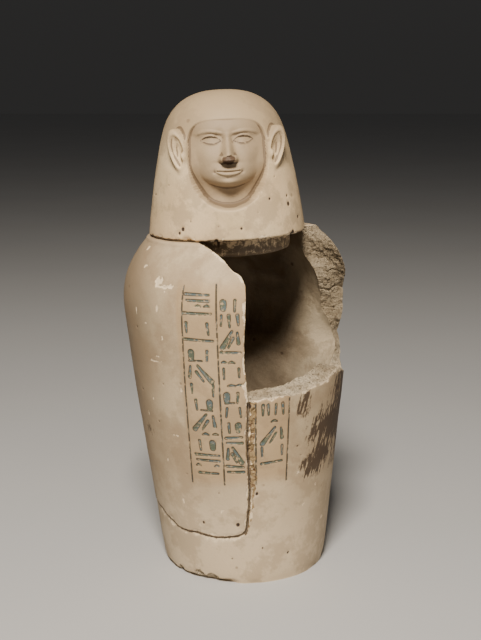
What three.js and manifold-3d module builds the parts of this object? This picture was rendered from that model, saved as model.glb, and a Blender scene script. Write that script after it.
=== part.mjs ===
// A broken canopic jar of limestone, in millimetres, +Z up, its face looking along -Y.
// The origin is the centre of the flat underside.
// Three separate pieces of stone: the jar, one sherd fitted back into it, and the loose lid
// carved as a head in a plain wig, which rests on the rim and plugs the mouth.
// An angle called azimuth is measured round the axis from the front (-Y) towards the right (+X).

import * as THREE from 'three';
import { mergeVertices } from 'three/addons/utils/BufferGeometryUtils.js';
import Module from 'manifold-3d';

const wasm = await Module();
wasm.setup();

// ---- driving dimensions ----------------------------------------------------------------

const RIM_HEIGHT = 263.2;            // rim above the underside, on the jar's own axis
const LEAN = THREE.MathUtils.degToRad(1.66);       // the whole jar leans to its left
const RIM_SLOPE = THREE.MathUtils.degToRad(0.45);  // and its rim is cut a little out of square
const JAR_SIDES = 48;

// Jar wall: height and radius, outside and inside.
const OUTSIDE = [[-5, 63], [0, 63.6], [10, 65.6], [50, 70.3], [100, 76.2], [150, 82.2],
  [200, 86.9], [218, 87.6], [232, 85.4], [243, 80.9], [254, 74], [261, 68.2]];
const INSIDE = [[246, 55.4], [240, 57.5], [233, 61], [219, 66], [203, 69], [178, 69.5],
  [150, 68.8], [120, 66], [80, 58], [54, 46], [44, 34], [41, 18]];
const RIM_ROUND = 2.2;               // worn outer arris of the rim
const MOUTH_RADIUS = 55;
const FLOOR_THICKNESS = 40;
const WIDEST = 86;                   // outer radius where the broken edges are
const WALL = 17;                     // thickness of the wall at its fullest

// A place where the inside was bored too deep, behind the right-hand break.
const POCKET = { azimuth: 97, height: 175, depth: 11, wide: 18, tall: 19 };

// Edges of the sherd and of the missing chunk, on the outer face: [height, azimuth].
const OPEN_EDGE = [[40, 1], [51, 2.5], [68, 4], [85, 4.4], [120, 3.6], [150, 4.6], [180, 3.2],
  [207, 3.9], [231, 4.9], [238, 4.3], [242.5, 2.6], [246.3, -1.3], [253.8, -6.7], [259.3, -13.5],
  [263.2, -20], [275, -33]];
const HIDDEN_EDGE = [[40, -84], [56, -93], [82, -101], [120, -108], [180, -113], [275, -117]];
const RIGHT_EDGE = [[149, 92], [153, 99], [166, 103], [178, 108.5], [190, 103.5], [215, 103.5],
  [226, 98], [236, 93], [247, 91], [254, 96], [263, 108], [275, 114]];
const RIGHT_EDGE_INSIDE = [[149, 86], [165, 91], [172, 97], [187, 106], [198, 109], [213, 104],
  [229, 102], [240, 108], [275, 105]];
// Lower edges: [azimuth, height].
const SHERD_FOOT = [[-84, 60], [-77, 54.2], [-62, 49.2], [-51, 44.7], [-43, 41.2], [-30, 41.4],
  [-17, 39.6], [-8, 40.5], [-2, 42], [2, 45]];
const BREAK_FOOT = [[4, 149.3], [11, 151], [19, 152], [27, 151.6], [36, 153], [42, 155],
  [51, 156], [60, 159.7], [69, 159.6], [74, 156.5], [90, 150], [99, 150]];
const BREAK_FOOT_RISE = 5;           // the break's inner edge stands higher than its outer one
const UNDERCUT = 8;                  // and the sherd's upper edge falls away inwards

const CUTTER_DEPTH = 45;             // the cutting blocks reach this far into the jar
const CUTTER_CLEAR = 14;             // and this far out of it
const JOINT = 0.45;                  // open joint between the sherd and the jar
const SHERD_SHIFT = [-0.3, -0.5, 0]; // the sherd sits a hair proud of the jar
const BASE_CHIP = { azimuth: -23, radius: 14, out: 75.4, height: -3 };

// Lid.
const LID_HEIGHT = 107;
const LID_CENTRE = [-13.8, 0, 263.4];
const LID_LEAN = THREE.MathUtils.degToRad(2.1);
const LID_TURN = THREE.MathUtils.degToRad(4);
const PLUG_RADIUS = 48;
const PLUG_DEPTH = 13.5;
const LID_CHIP = { azimuth: -33, out: 68.4, height: -1.5, radius: 10.5 };

// Head, laid out by the rule of thirds between the chin and the brow.
const CHIN = 36;
const THIRD = 20.5;
const NOSE_BASE = CHIN + THIRD;
const BROW = CHIN + 2 * THIRD;
const EYE_LINE = (CHIN + LID_HEIGHT) / 2;
const MOUTH_LINE = CHIN + THIRD * 2 / 3;
const FACE_HALF = 29;                // half the width of the face
const EYE = FACE_HALF * 2 / 5;       // one eye, and the space between the eyes
const OPENING = { half: 30, middle: 60, up: 27, down: 38, step: 3.2, temple: 3.6, throat: 2.2 };
const EAR = { out: 34.5, front: -37, height: 63, wide: 7.4, tall: 16.8, thick: 7 };

// ---- small tools -----------------------------------------------------------------------

const radians = THREE.MathUtils.degToRad;
const smoothstep = THREE.MathUtils.smoothstep;

// A smooth curve through a few points, as a function of their first number.
function through(points) {
  const list = [...points].sort((a, b) => a[0] - b[0]);
  const slope = list.map((_, i) => {
    const before = list[Math.max(0, i - 1)];
    const after = list[Math.min(list.length - 1, i + 1)];
    return (after[1] - before[1]) / (after[0] - before[0]);
  });
  return (x) => {
    if (x <= list[0][0]) return list[0][1];
    if (x >= list.at(-1)[0]) return list.at(-1)[1];
    const i = list.findIndex((p) => p[0] > x) - 1;
    const step = list[i + 1][0] - list[i][0];
    const t = (x - list[i][0]) / step;
    const held = (1 + 2 * t) * (1 - t) ** 2 * list[i][1] + t * t * (3 - 2 * t) * list[i + 1][1];
    return held + t * (1 - t) * step * ((1 - t) * slope[i] - t * slope[i + 1]);
  };
}

function around(azimuth, radius, height) {
  const a = radians(azimuth);
  return new THREE.Vector3(radius * Math.sin(a), -radius * Math.cos(a), height);
}

// Uneven broken stone: a few waves that never line up.
function broken(a, b) {
  return 0.5 * Math.sin(a * 1.3 + b * 0.7) + 0.3 * Math.sin(b * 2.1 - a * 0.9 + 1)
    + 0.2 * Math.sin(a * 3.7 + b * 3.1 + 2);
}

function bell(x, y) {
  return Math.exp(-x * x - y * y);
}

// Lower of two values, with the corner between them rounded over.
function softLower(a, b, round) {
  const h = Math.max(round - Math.abs(a - b), 0) / round;
  return Math.min(a, b) - h * h * round / 4;
}

function softHigher(a, b, round) {
  return -softLower(-a, -b, round);
}

function toSolid(geometry) {
  for (const name of Object.keys(geometry.attributes)) {
    if (name !== 'position') geometry.deleteAttribute(name);
  }
  const merged = mergeVertices(geometry, 1e-4);
  const index = merged.index.array;
  const kept = [];
  for (let i = 0; i < index.length; i += 3) {
    const [a, b, c] = [index[i], index[i + 1], index[i + 2]];
    if (a !== b && b !== c && c !== a) kept.push(a, b, c);
  }
  return new wasm.Manifold(new wasm.Mesh({
    numProp: 3,
    vertProperties: new Float32Array(merged.attributes.position.array),
    triVerts: new Uint32Array(kept),
  }));
}

function toGeometry(solid) {
  const mesh = solid.getMesh();
  const geometry = new THREE.BufferGeometry();
  geometry.setAttribute('position', new THREE.BufferAttribute(mesh.vertProperties, 3));
  geometry.setIndex(new THREE.BufferAttribute(mesh.triVerts, 1));
  geometry.computeVertexNormals();
  return geometry;
}

function moveEach(geometry, move) {
  const position = geometry.attributes.position;
  const point = new THREE.Vector3();
  for (let i = 0; i < position.count; i += 1) {
    point.fromBufferAttribute(position, i);
    const moved = move(point);
    position.setXYZ(i, moved.x, moved.y, moved.z);
  }
  return geometry;
}

// ---- the jar ---------------------------------------------------------------------------

const outerRadius = through(OUTSIDE);
const innerRadius = through([[RIM_HEIGHT, MOUTH_RADIUS], ...INSIDE]);

// Leans a point of the upright jar and slopes its rim.
function leaned(point) {
  const near = smoothstep(point.z, RIM_HEIGHT - 60, RIM_HEIGHT);
  const raised = point.z + near * point.x * Math.tan(RIM_SLOPE);
  return new THREE.Vector3(
    point.x * Math.cos(LEAN) - raised * Math.sin(LEAN),
    point.y,
    point.x * Math.sin(LEAN) + raised * Math.cos(LEAN),
  );
}

function jarBlank() {
  const rimEdge = outerRadius(261) - 2;
  const profile = [new THREE.Vector2(0, OUTSIDE[0][0])];
  const outerHeights = [-5, 3, 12, 50, 100, 150, 180, 202, 216, 227, 237, 246, 254];
  for (const height of outerHeights) profile.push(new THREE.Vector2(outerRadius(height), height));
  profile.push(new THREE.Vector2(rimEdge + RIM_ROUND, RIM_HEIGHT - RIM_ROUND));
  profile.push(new THREE.Vector2(rimEdge + RIM_ROUND / 3, RIM_HEIGHT - RIM_ROUND / 3));
  profile.push(new THREE.Vector2(rimEdge - RIM_ROUND / 2, RIM_HEIGHT));
  profile.push(new THREE.Vector2(MOUTH_RADIUS, RIM_HEIGHT));
  const innerHeights = [246, 240, 230, 217, 203, 190, 178, 166, 150, 110, 75, 52, 43];
  for (const height of innerHeights) profile.push(new THREE.Vector2(innerRadius(height), height));
  profile.push(new THREE.Vector2(0, FLOOR_THICKNESS));
  const turned = new THREE.LatheGeometry(profile, JAR_SIDES).rotateX(Math.PI / 2);
  const bored = moveEach(turned, (p) => {
    const radius = Math.hypot(p.x, p.y);
    const inside = radius > 1 && radius < innerRadius(p.z) + 1 && p.z < 240 && p.z > 60;
    if (!inside) return p.clone();
    const azimuth = THREE.MathUtils.radToDeg(Math.atan2(p.x, -p.y));
    const over = (azimuth - POCKET.azimuth) / POCKET.wide;
    const up = (p.z - POCKET.height) / POCKET.tall;
    return around(azimuth, radius + POCKET.depth * bell(over, up), p.z);
  });
  const ground = toSolid(new THREE.BoxGeometry(300, 300, 400).translate(0, 0, 200));
  return toSolid(moveEach(bored, leaned)).intersect(ground);
}

// A cutter that follows the wall: a box whose width runs round the axis, whose depth runs
// outwards through the wall, and whose height runs from its foot to above the rim.
function wallCutter({ sides, foot, steps, grow = 0 }) {
  const top = RIM_HEIGHT + 12;
  const layers = [-CUTTER_DEPTH, -WALL, 0, CUTTER_CLEAR];
  const box = new THREE.BoxGeometry(1, 1, 1, steps[0], layers.length - 1, steps[1]);
  return toSolid(moveEach(box, (p) => {
    const across = 0.5 - p.x;
    const out = layers[Math.round((p.y + 0.5) * (layers.length - 1))];
    const inward = THREE.MathUtils.clamp(-out / WALL, 0, 1);
    const growAngle = THREE.MathUtils.radToDeg(grow / WIDEST);
    const low = foot(across, inward) - grow;
    const height = low + (top - low) * (p.z + 0.5);
    const [left, right] = sides(height, inward);
    const azimuth = (left - growAngle) * (1 - across) + (right + growAngle) * across;
    return leaned(around(azimuth, outerRadius(height) + out, height));
  }));
}

const openEdge = through(OPEN_EDGE);
const hiddenEdge = through(HIDDEN_EDGE);
const rightEdge = through(RIGHT_EDGE);
const rightEdgeInside = through(RIGHT_EDGE_INSIDE);
const sherdFoot = through(SHERD_FOOT);
const breakFoot = through(BREAK_FOOT);

function sherdCutter(grow) {
  return wallCutter({
    grow,
    steps: [16, 18],
    foot: (across, inward) => sherdFoot(-84 + 86 * across) + 3 * inward
      + 0.5 * broken(across * 30, inward * 2),
    sides: (height, inward) => [
      hiddenEdge(height) + 0.8 * broken(height / 9, inward * 2),
      openEdge(height + UNDERCUT * inward) - 2 * inward + 0.4 * broken(height / 5, inward * 3),
    ],
  });
}

function chunkCutter() {
  return wallCutter({
    steps: [24, 15],
    foot: (across, inward) => breakFoot(-16 + 115 * across) + BREAK_FOOT_RISE * inward
      + 0.9 * broken(across * 34, inward * 3),
    sides: (height, inward) => [
      openEdge(height) - 20,
      THREE.MathUtils.lerp(rightEdge(height), rightEdgeInside(height), inward)
        + 0.9 * broken(height / 4, inward * 3),
    ],
  });
}

function baseChip() {
  const spot = around(BASE_CHIP.azimuth, BASE_CHIP.out, BASE_CHIP.height);
  const bite = new THREE.SphereGeometry(BASE_CHIP.radius, 14, 10);
  return toSolid(moveEach(bite, (p) => p.clone().add(spot)));
}

const blank = jarBlank();
const jarBody = blank.subtract(sherdCutter(JOINT)).subtract(chunkCutter()).subtract(baseChip());
const jarSherd = blank.intersect(sherdCutter(0));

// ---- the lid ---------------------------------------------------------------------------

// Half-width of the wig at a height: a long taper that a dome closes.
function wigHalfWidth(height) {
  const worn = 0.35 * Math.max(0, 2 - height) ** 2;
  const taper = 60 - 0.11 * height - 0.0009 * height * height - worn;
  const rise = THREE.MathUtils.clamp((height - 60) / (LID_HEIGHT - 60), 0, 1);
  return taper * (1 - rise ** 4) ** 0.4;
}

function wig(x, y, z) {
  const deepening = 1 + 0.001 * z;
  const above = Math.max(0, z - LID_HEIGHT);
  return Math.hypot(x, y / deepening) - wigHalfWidth(z) + above;
}

// The opening of the wig: square at the temples, and a deep U below the chin.
function opening(x, z) {
  const { half, middle, up, down, temple, throat } = OPENING;
  const power = z > middle ? temple : throat;
  const along = z > middle ? (z - middle) / up : (middle - z) / down;
  return (((Math.abs(x) / half) ** power + along ** power) ** (1 / power) - 1) * half;
}

// The wig with its opening sunk into it, deepest at the throat.
function hair(x, y, z) {
  const depth = 3.2 + 10 * (1 - smoothstep(z, CHIN - 6, CHIN + THIRD));
  const inside = y < 0 ? smoothstep(-opening(x, z), 0, OPENING.step) : 0;
  return wig(x, y, z) + depth * inside;
}

const profileLine = through([[28, 52], [CHIN + 5, 54], [MOUTH_LINE, 52.6], [NOSE_BASE, 51],
  [66, 49.5], [EYE_LINE, 48], [BROW, 48.4], [87, 44.6], [95, 40]]);

function nose(x, z) {
  const down = THREE.MathUtils.clamp((BROW - 3 - z) / (BROW - 3 - NOSE_BASE), 0, 1);
  const height = 1.8 + 8.6 * down ** 1.15;
  const wide = 2.5 + 1.9 * down;
  const ends = smoothstep(z, NOSE_BASE - 1, NOSE_BASE + 1.8) * (1 - smoothstep(z, BROW - 5, BROW + 1));
  const ridge = height * Math.exp(-((Math.abs(x) / wide) ** 2.6)) + 1.6 * down * bell(x / 7.5, 0);
  const wings = 4.4 * bell((Math.abs(x) - 4.5) / 2, (z - NOSE_BASE - 2) / 2.1);
  return ridge * ends + wings * smoothstep(z, NOSE_BASE - 1.2, NOSE_BASE + 0.7);
}

function mouth(x, z) {
  const half = FACE_HALF / 3;
  const ends = Math.max(0, 1 - (x / half) ** 2) ** 0.6;
  const mound = 1.7 * bell(x / 11, (z - MOUTH_LINE) / 6);
  const upper = 1.3 * bell((z - MOUTH_LINE - 1.3) / 1.3, 0);
  const lower = 1.6 * bell((z - MOUTH_LINE + 1.6) / 1.6, 0);
  const under = 1.1 * bell(x / 6, (z - MOUTH_LINE + 5) / 1.7);
  return mound + (upper + lower) * ends - 0.8 * ends * bell((z - MOUTH_LINE) / 0.6, 0) - under;
}

function eye(x, z) {
  const across = Math.abs(x) - EYE;
  const up = z - EYE_LINE;
  const socket = 2.9 * bell(across / 9.5, (up - 0.5) / 5);
  const corner = 1.6 * bell((Math.abs(x) - 6) / 3, (up - 2) / 5);
  return 3 * bell(across / 7, (up + 0.2) / 3.9) - socket - corner;
}

function brow(x, z) {
  const out = Math.abs(x);
  const rise = 1.9 * Math.sin(THREE.MathUtils.clamp((out - 3.5) / 20, 0, 1) * 2.58);
  const fall = 2.6 * THREE.MathUtils.clamp((out - 12) / 12, 0, 1) ** 2;
  const band = Math.exp(-(Math.abs((z - BROW + 0.6 - rise + fall) / 1.3) ** 3));
  return 0.8 * band * smoothstep(out, 2.6, 5) * (1 - smoothstep(out, 19.5, 23));
}

// How far the face stands forward of the axis, seen from the front.
function faceDepth(x, z) {
  const turn = 64;
  const below = THREE.MathUtils.clamp((turn - z) / (turn - CHIN), 0, 1.4);
  const half = FACE_HALF * (1 - 0.3 * below ** 2);
  const edge = (Math.abs(x) / half) ** 2.4 + below ** 5;
  const back = 24 * (1 - Math.sqrt(Math.max(0, 1 - edge))) + 30 * Math.max(0, edge - 1);
  const chin = 4.6 * bell(x / 8, (z - CHIN - 5) / 5);
  const cheeks = 1.8 * bell((Math.abs(x) - 15) / 7.5, (z - 60) / 7.5);
  const features = nose(x, z) + mouth(x, z) + eye(x, z) + brow(x, z);
  return profileLine(z) + chin + cheeks + features - back;
}

function ear(x, y, z) {
  const turn = radians(24);
  const tilt = radians(10);
  const out = Math.abs(x) - EAR.out;
  const along = out * Math.cos(turn) + (y - EAR.front) * Math.sin(turn);
  const front = out * Math.sin(turn) - (y - EAR.front) * Math.cos(turn);
  const up = (z - EAR.height) * Math.cos(tilt) + along * Math.sin(tilt) * -1;
  const over = along * Math.cos(tilt) - (z - EAR.height) * Math.sin(tilt);
  const wide = EAR.wide * (1 + 0.2 * up / EAR.tall);
  const shell = (Math.hypot(over / wide, up / EAR.tall, front / EAR.thick) - 1) * EAR.wide;
  const bowl = (Math.hypot(over / (wide - 2.4), (up - 2) / (EAR.tall - 4.4),
    (front - EAR.thick) / 5.4) - 1) * (EAR.wide - 2.4);
  return softHigher(shell, -bowl, 1);
}

// Negative inside the carved lid, positive outside it.
function carved(x, y, z) {
  const face = Math.max(-y - faceDepth(x, z), y + 20, opening(x, z) - 1);
  const head = softLower(hair(x, y, z), face, 1);
  const withEars = softLower(head, ear(x, y, z), 1.6);
  const chip = around(LID_CHIP.azimuth, LID_CHIP.out, LID_CHIP.height);
  const bite = LID_CHIP.radius - Math.hypot(x - chip.x, y - chip.y, z - chip.z);
  return softHigher(withEars, bite, 0.5);
}

// Steps that crowd where the carving is fine: pairs of [end, number of steps up to it].
function uneven(start, stretches) {
  const list = [start];
  for (const [end, count] of stretches) {
    const from = list.at(-1);
    for (let i = 1; i <= count; i += 1) list.push(from + (end - from) * i / count);
  }
  return list;
}

// Distance from the axis to the outermost stone along a ray.
function reach(origin, direction) {
  const at = (d) => carved(direction.x * d, direction.y * d, origin + direction.z * d);
  let outer = 78;
  while (at(outer) > 0 && outer > 4) outer -= 1.2;
  let inner = outer;
  outer += 1.2;
  for (let i = 0; i < 16; i += 1) {
    const middle = (inner + outer) / 2;
    if (at(middle) > 0) outer = middle;
    else inner = middle;
  }
  return inner;
}

// Azimuths for one height, from straight ahead to straight behind on one side. Two of them
// keep to the two sides of the step round the face, so that its edge stays crisp.
function columns(height) {
  const { half, middle, up, down, step, temple, throat } = OPENING;
  const along = height > middle ? Math.min(1, (height - middle) / up) : (middle - height) / down;
  const power = height > middle ? temple : throat;
  const edge = Math.max(15, half * Math.max(0, 1 - along ** power) ** (1 / power));
  const deep = wigHalfWidth(height);
  const angle = (x, sunk) => THREE.MathUtils.radToDeg(Math.asin(Math.min(0.8, x / (deep - sunk))));
  return uneven(0, [[angle(edge - step, 3), 13], [angle(edge + 0.3, 0), 2], [62, 8], [180, 5]]);
}

function lidGeometry() {
  const domeBase = 88;
  const heights = uneven(0, [[4, 2], [20, 2], [26, 4], [36, 5], [85, 20], [domeBase, 2]]);
  const rises = uneven(0, [[12, 3], [30, 3], [66, 2]]).slice(1);
  const both = (list) => [...list, ...list.slice(1, -1).reverse().map((a) => -a)];
  const straight = both(columns(0));
  const rings = [
    straight.map((a) => around(a, PLUG_RADIUS - 4, -PLUG_DEPTH)),
    straight.map((a) => around(a, PLUG_RADIUS - 1, -PLUG_DEPTH + 1.2)),
    straight.map((a) => around(a, PLUG_RADIUS, -PLUG_DEPTH + 4)),
    straight.map((a) => around(a, PLUG_RADIUS, 0)),
  ];
  for (const height of heights) {
    rings.push(both(columns(height)).map((a) => around(a, reach(height, around(a, 1, 0)), height)));
  }
  for (const rise of rises) {
    rings.push(both(columns(domeBase)).map((a) => {
      const direction = around(a, Math.cos(radians(rise)), Math.sin(radians(rise)));
      const out = reach(domeBase, direction);
      return direction.multiplyScalar(out).add(new THREE.Vector3(0, 0, domeBase));
    }));
  }
  const bottom = new THREE.Vector3(0, 0, -PLUG_DEPTH);
  const top = new THREE.Vector3(0, 0, LID_HEIGHT - 0.05);
  const points = [bottom, ...rings.flat(), top];
  const round = straight.length;
  const faces = [];
  for (let j = 0; j < round; j += 1) {
    const k = (j + 1) % round;
    faces.push(0, 1 + k, 1 + j);
    for (let i = 0; i < rings.length - 1; i += 1) {
      const low = 1 + i * round;
      const high = low + round;
      faces.push(low + j, low + k, high + k, low + j, high + k, high + j);
    }
    const last = 1 + (rings.length - 1) * round;
    faces.push(last + j, last + k, points.length - 1);
  }
  const geometry = new THREE.BufferGeometry().setFromPoints(points);
  geometry.setIndex(faces);
  geometry.computeVertexNormals();
  return geometry;
}

// ---- the object ------------------------------------------------------------------------

const jarStone = new THREE.MeshStandardMaterial({ color: 0xb9a58b, roughness: 0.85, metalness: 0 });
const sherdStone = new THREE.MeshStandardMaterial({ color: 0xb19c82, roughness: 0.86, metalness: 0 });
const lidStone = new THREE.MeshStandardMaterial({ color: 0xc9b699, roughness: 0.8, metalness: 0 });

function named(name, geometry, material) {
  const mesh = new THREE.Mesh(geometry, material);
  mesh.name = name;
  return mesh;
}

const body = named('jar_body', toGeometry(jarBody), jarStone);

const sherd = named('jar_fragment', toGeometry(jarSherd), sherdStone);
sherd.position.set(...SHERD_SHIFT);

const lid = named('lid', lidGeometry(), lidStone);
lid.rotation.set(0, -LID_LEAN, LID_TURN, 'YZX');
lid.position.set(...LID_CENTRE);

const canopicJar = new THREE.Group();
canopicJar.add(body, sherd, lid);

export default canopicJar;
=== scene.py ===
"""A broken canopic jar of limestone: the jar, one sherd set back into it, and the loose lid.

Sizes are in millimetres in the jar's own frame: +Z up, the face of the lid looking along -Y,
the origin at the centre of the flat underside. Points turn into metres when a mesh is made.
An azimuth is an angle in degrees round the axis, from the front towards the jar's +X side.
"""

import math
from contextlib import contextmanager

import bmesh
import bpy
import numpy as np
from mathutils import Matrix, Vector


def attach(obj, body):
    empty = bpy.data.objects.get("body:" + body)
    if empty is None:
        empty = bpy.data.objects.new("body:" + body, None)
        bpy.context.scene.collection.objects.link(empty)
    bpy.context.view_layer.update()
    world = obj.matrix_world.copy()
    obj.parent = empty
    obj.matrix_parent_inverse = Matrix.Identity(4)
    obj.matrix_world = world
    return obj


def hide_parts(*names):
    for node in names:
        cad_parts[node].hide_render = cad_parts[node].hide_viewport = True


MM = 0.001
# Whole numbers that scatter a lattice place into a random-looking value.
SCATTER = (73856093, 19349663, 83492791)
SEED_STEP = 1013904223
STIR = ((13, 1274126177), (16, 668265263))
LARGEST = 0x7FFFFFFF

# ---- sizes of the jar, as in the part ------------------------------------------------------

RIM_HEIGHT = 263.2
LEAN = math.radians(1.66)
RIM_SLOPE = math.radians(0.45)
OUTSIDE = [(-5, 63), (0, 63.6), (10, 65.6), (50, 70.3), (100, 76.2), (150, 82.2), (200, 86.9),
           (218, 87.6), (232, 85.4), (243, 80.9), (254, 74), (261, 68.2)]
INSIDE = [(246, 55.4), (240, 57.5), (233, 61), (219, 66), (203, 69), (178, 69.5), (150, 68.8),
          (120, 66), (80, 58), (54, 46), (44, 34), (41, 18)]
RIM_ROUND = 2.2
RIM_SLOPE_DEPTH = 60
MOUTH_RADIUS = 55
FLOOR_THICKNESS = 40
POCKET = {"azimuth": 97, "height": 175, "depth": 11, "wide": 18, "tall": 19}

OPEN_EDGE = [(40, 1), (51, 2.5), (68, 4), (85, 4.4), (120, 3.6), (150, 4.6), (180, 3.2), (207, 3.9),
             (231, 4.9), (238, 4.3), (242.5, 2.6), (246.3, -1.3), (253.8, -6.7), (259.3, -13.5),
             (263.2, -20), (275, -33)]
HIDDEN_EDGE = [(40, -84), (56, -93), (82, -101), (120, -108), (180, -113), (275, -117)]
RIGHT_EDGE = [(149, 92), (153, 99), (166, 103), (178, 108.5), (190, 103.5), (215, 103.5),
              (226, 98), (236, 93), (247, 91), (254, 96), (263, 108), (275, 114)]
RIGHT_EDGE_INSIDE = [(149, 86), (165, 91), (172, 97), (187, 106), (198, 109), (213, 104),
                     (229, 102), (240, 108), (275, 105)]
SHERD_FOOT = [(-84, 60), (-77, 54.2), (-62, 49.2), (-51, 44.7), (-43, 41.2), (-30, 41.4),
              (-17, 39.6), (-8, 40.5), (-2, 42), (2, 45)]
BREAK_FOOT = [(4, 149.3), (11, 151), (19, 152), (27, 151.6), (36, 153), (42, 155), (51, 156),
              (60, 159.7), (69, 159.6), (74, 156.5), (90, 150), (99, 150)]
BREAK_FOOT_RISE = 5
UNDERCUT = 8
WALL = 17
JOINT = 0.45
SHERD_SHIFT = (-0.3, -0.5, 0)
JAR_ARRIS = math.radians(48)

# ---- sizes of the lid, as in the part ------------------------------------------------------

LID_HEIGHT = 107
LID_ARRIS = math.radians(62)
LID_CENTRE = (-13.8, 0, 263.4)
LID_LEAN = math.radians(2.1)
LID_TURN = math.radians(4)
PLUG_RADIUS = 48
PLUG_DEPTH = 13.5
LID_CHIP = {"azimuth": -33, "out": 68.4, "height": -1.5, "radius": 10.5}
CHIN = 36
THIRD = 20.5
NOSE_BASE = CHIN + THIRD
BROW = CHIN + 2 * THIRD
EYE_LINE = (CHIN + LID_HEIGHT) / 2
MOUTH_LINE = CHIN + THIRD * 2 / 3
FACE_HALF = 29
EYE = FACE_HALF * 2 / 5
OPENING = {"half": 30, "middle": 60, "up": 27, "down": 38, "step": 3.2, "temple": 3.6,
           "throat": 2.2}
EAR = {"out": 34.5, "front": -37, "height": 63, "wide": 7.4, "tall": 16.8, "thick": 7,
       "turn": math.radians(24), "tilt": math.radians(10)}

# Faces of a jar piece carry one of these material places.
SKIN = 0
HOLLOW = 1
BREAK = 2


# ---- small tools ---------------------------------------------------------------------------

def through(points):
    """A smooth curve through a few points, as a function of their first number."""
    ordered = sorted(points)
    xs = np.array([p[0] for p in ordered], float)
    ys = np.array([p[1] for p in ordered], float)
    before = np.maximum(np.arange(len(xs)) - 1, 0)
    after = np.minimum(np.arange(len(xs)) + 1, len(xs) - 1)
    slope = (ys[after] - ys[before]) / (xs[after] - xs[before])

    def value(x):
        x = np.clip(x, xs[0], xs[-1])
        i = np.clip(np.searchsorted(xs, x, side="right") - 1, 0, len(xs) - 2)
        step = xs[i + 1] - xs[i]
        t = (x - xs[i]) / step
        held = (1 + 2 * t) * (1 - t) ** 2 * ys[i] + t * t * (3 - 2 * t) * ys[i + 1]
        return held + t * (1 - t) * step * ((1 - t) * slope[i] - t * slope[i + 1])

    return value


def ramp(x, low, high):
    """0 below low, 1 above high, and a smooth rise between."""
    t = np.clip((x - low) / (high - low), 0, 1)
    return t * t * (3 - 2 * t)


def between(x, low, full, fading, high):
    """0 outside low and high, 1 from full to fading, and smooth where they meet."""
    return ramp(x, low, full) * (1 - ramp(x, fading, high))


def bell(x, y=0.0):
    return np.exp(-x * x - y * y)


def turned(a, b, angle):
    """Two numbers of a place, turned through an angle from the first towards the second."""
    c, s = math.cos(angle), math.sin(angle)
    return a * c - b * s, a * s + b * c


def soft_lower(a, b, rounding):
    h = np.maximum(rounding - np.abs(a - b), 0) / rounding
    return np.minimum(a, b) - h * h * rounding / 4


def soft_higher(a, b, rounding):
    return -soft_lower(-a, -b, rounding)


def lumps(points, size, seed):
    """Smooth random unevenness from -1 to 1, in swells about size across."""
    scaled = points / size
    cell = np.floor(scaled).astype(np.int64)
    t = scaled - cell
    t = t * t * (3 - 2 * t)
    total = np.zeros(points.shape[:-1])
    for corner in np.ndindex(2, 2, 2):
        at = cell + np.array(corner)
        x, y, z = (at[..., i] * SCATTER[i] for i in range(3))
        value = ((x ^ y ^ z) + seed * SEED_STEP) & LARGEST
        for shift, factor in STIR:
            value = ((value ^ (value >> shift)) * factor) & LARGEST
        weight = np.prod(np.where(np.array(corner) == 1, t, 1 - t), axis=-1)
        total += weight * value / LARGEST
    return total * 2 - 1


def crumble(points, size, seed):
    """Lumps on lumps, as in granular broken stone."""
    return (0.55 * lumps(points, size, seed) + 0.3 * lumps(points, size / 2.1, seed + 1)
            + 0.2 * lumps(points, size / 4.3, seed + 2))


def spread(start, stretches):
    """Steps of uneven width: pairs of (end, number of steps up to it)."""
    values = [start]
    for end, count in stretches:
        first = values[-1]
        values += [first + (end - first) * i / count for i in range(1, count + 1)]
    return np.array(values)


def around(azimuth, radius, height):
    a = np.radians(azimuth)
    return np.stack(np.broadcast_arrays(radius * np.sin(a), -radius * np.cos(a), height), -1)


def put(name, data):
    """An object in the scene."""
    thing = bpy.data.objects.new(name, data)
    bpy.context.scene.collection.objects.link(thing)
    return thing


def mesh_object(name, points, faces, places=None):
    """A mesh object in metres from points in millimetres."""
    mesh = bpy.data.meshes.new(name)
    mesh.from_pydata(np.asarray(points) * MM, [], [tuple(f) for f in faces])
    if places is not None:
        mesh.polygons.foreach_set("material_index", places)
    return put(name, mesh)


def turned_skin(rings, first, last):
    """Points and faces of closed rings of points, with a pole at either end."""
    rows, round_, _ = rings.shape
    points = np.concatenate([[first], rings.reshape(-1, 3), [last]])
    j = np.arange(round_)
    k = (j + 1) % round_
    start = 1 + np.arange(rows - 1)[:, None] * round_
    quads = np.stack([start + j, start + k, start + k + round_, start + j + round_], -1)
    top = 1 + (rows - 1) * round_
    pole = len(points) - 1
    faces = quads.reshape(-1, 4).tolist()
    faces += [(0, 1 + b, 1 + a) for a, b in zip(j.tolist(), k.tolist())]
    faces += [(top + a, top + b, pole) for a, b in zip(j.tolist(), k.tolist())]
    return points, faces


# ---- the turned jar ------------------------------------------------------------------------

outer_radius = through(OUTSIDE)
inner_radius = through([(RIM_HEIGHT, MOUTH_RADIUS)] + INSIDE)
open_edge = through(OPEN_EDGE)
hidden_edge = through(HIDDEN_EDGE)
right_edge = through(RIGHT_EDGE)
right_edge_inside = through(RIGHT_EDGE_INSIDE)
sherd_foot = through(SHERD_FOOT)
break_foot = through(BREAK_FOOT)


def rim_slope(x, z):
    """How much the slope of the rim raises a point: all of it at the rim, none far below."""
    return ramp(z, RIM_HEIGHT - RIM_SLOPE_DEPTH, RIM_HEIGHT) * x * math.tan(RIM_SLOPE)


def leaned(points):
    """Leans points of the upright jar and slopes its rim."""
    x, y, z = points[..., 0], points[..., 1], points[..., 2]
    raised = z + rim_slope(x, z)
    x, z = turned(x, raised, LEAN)
    return np.stack([x, y, z], -1)


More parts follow.
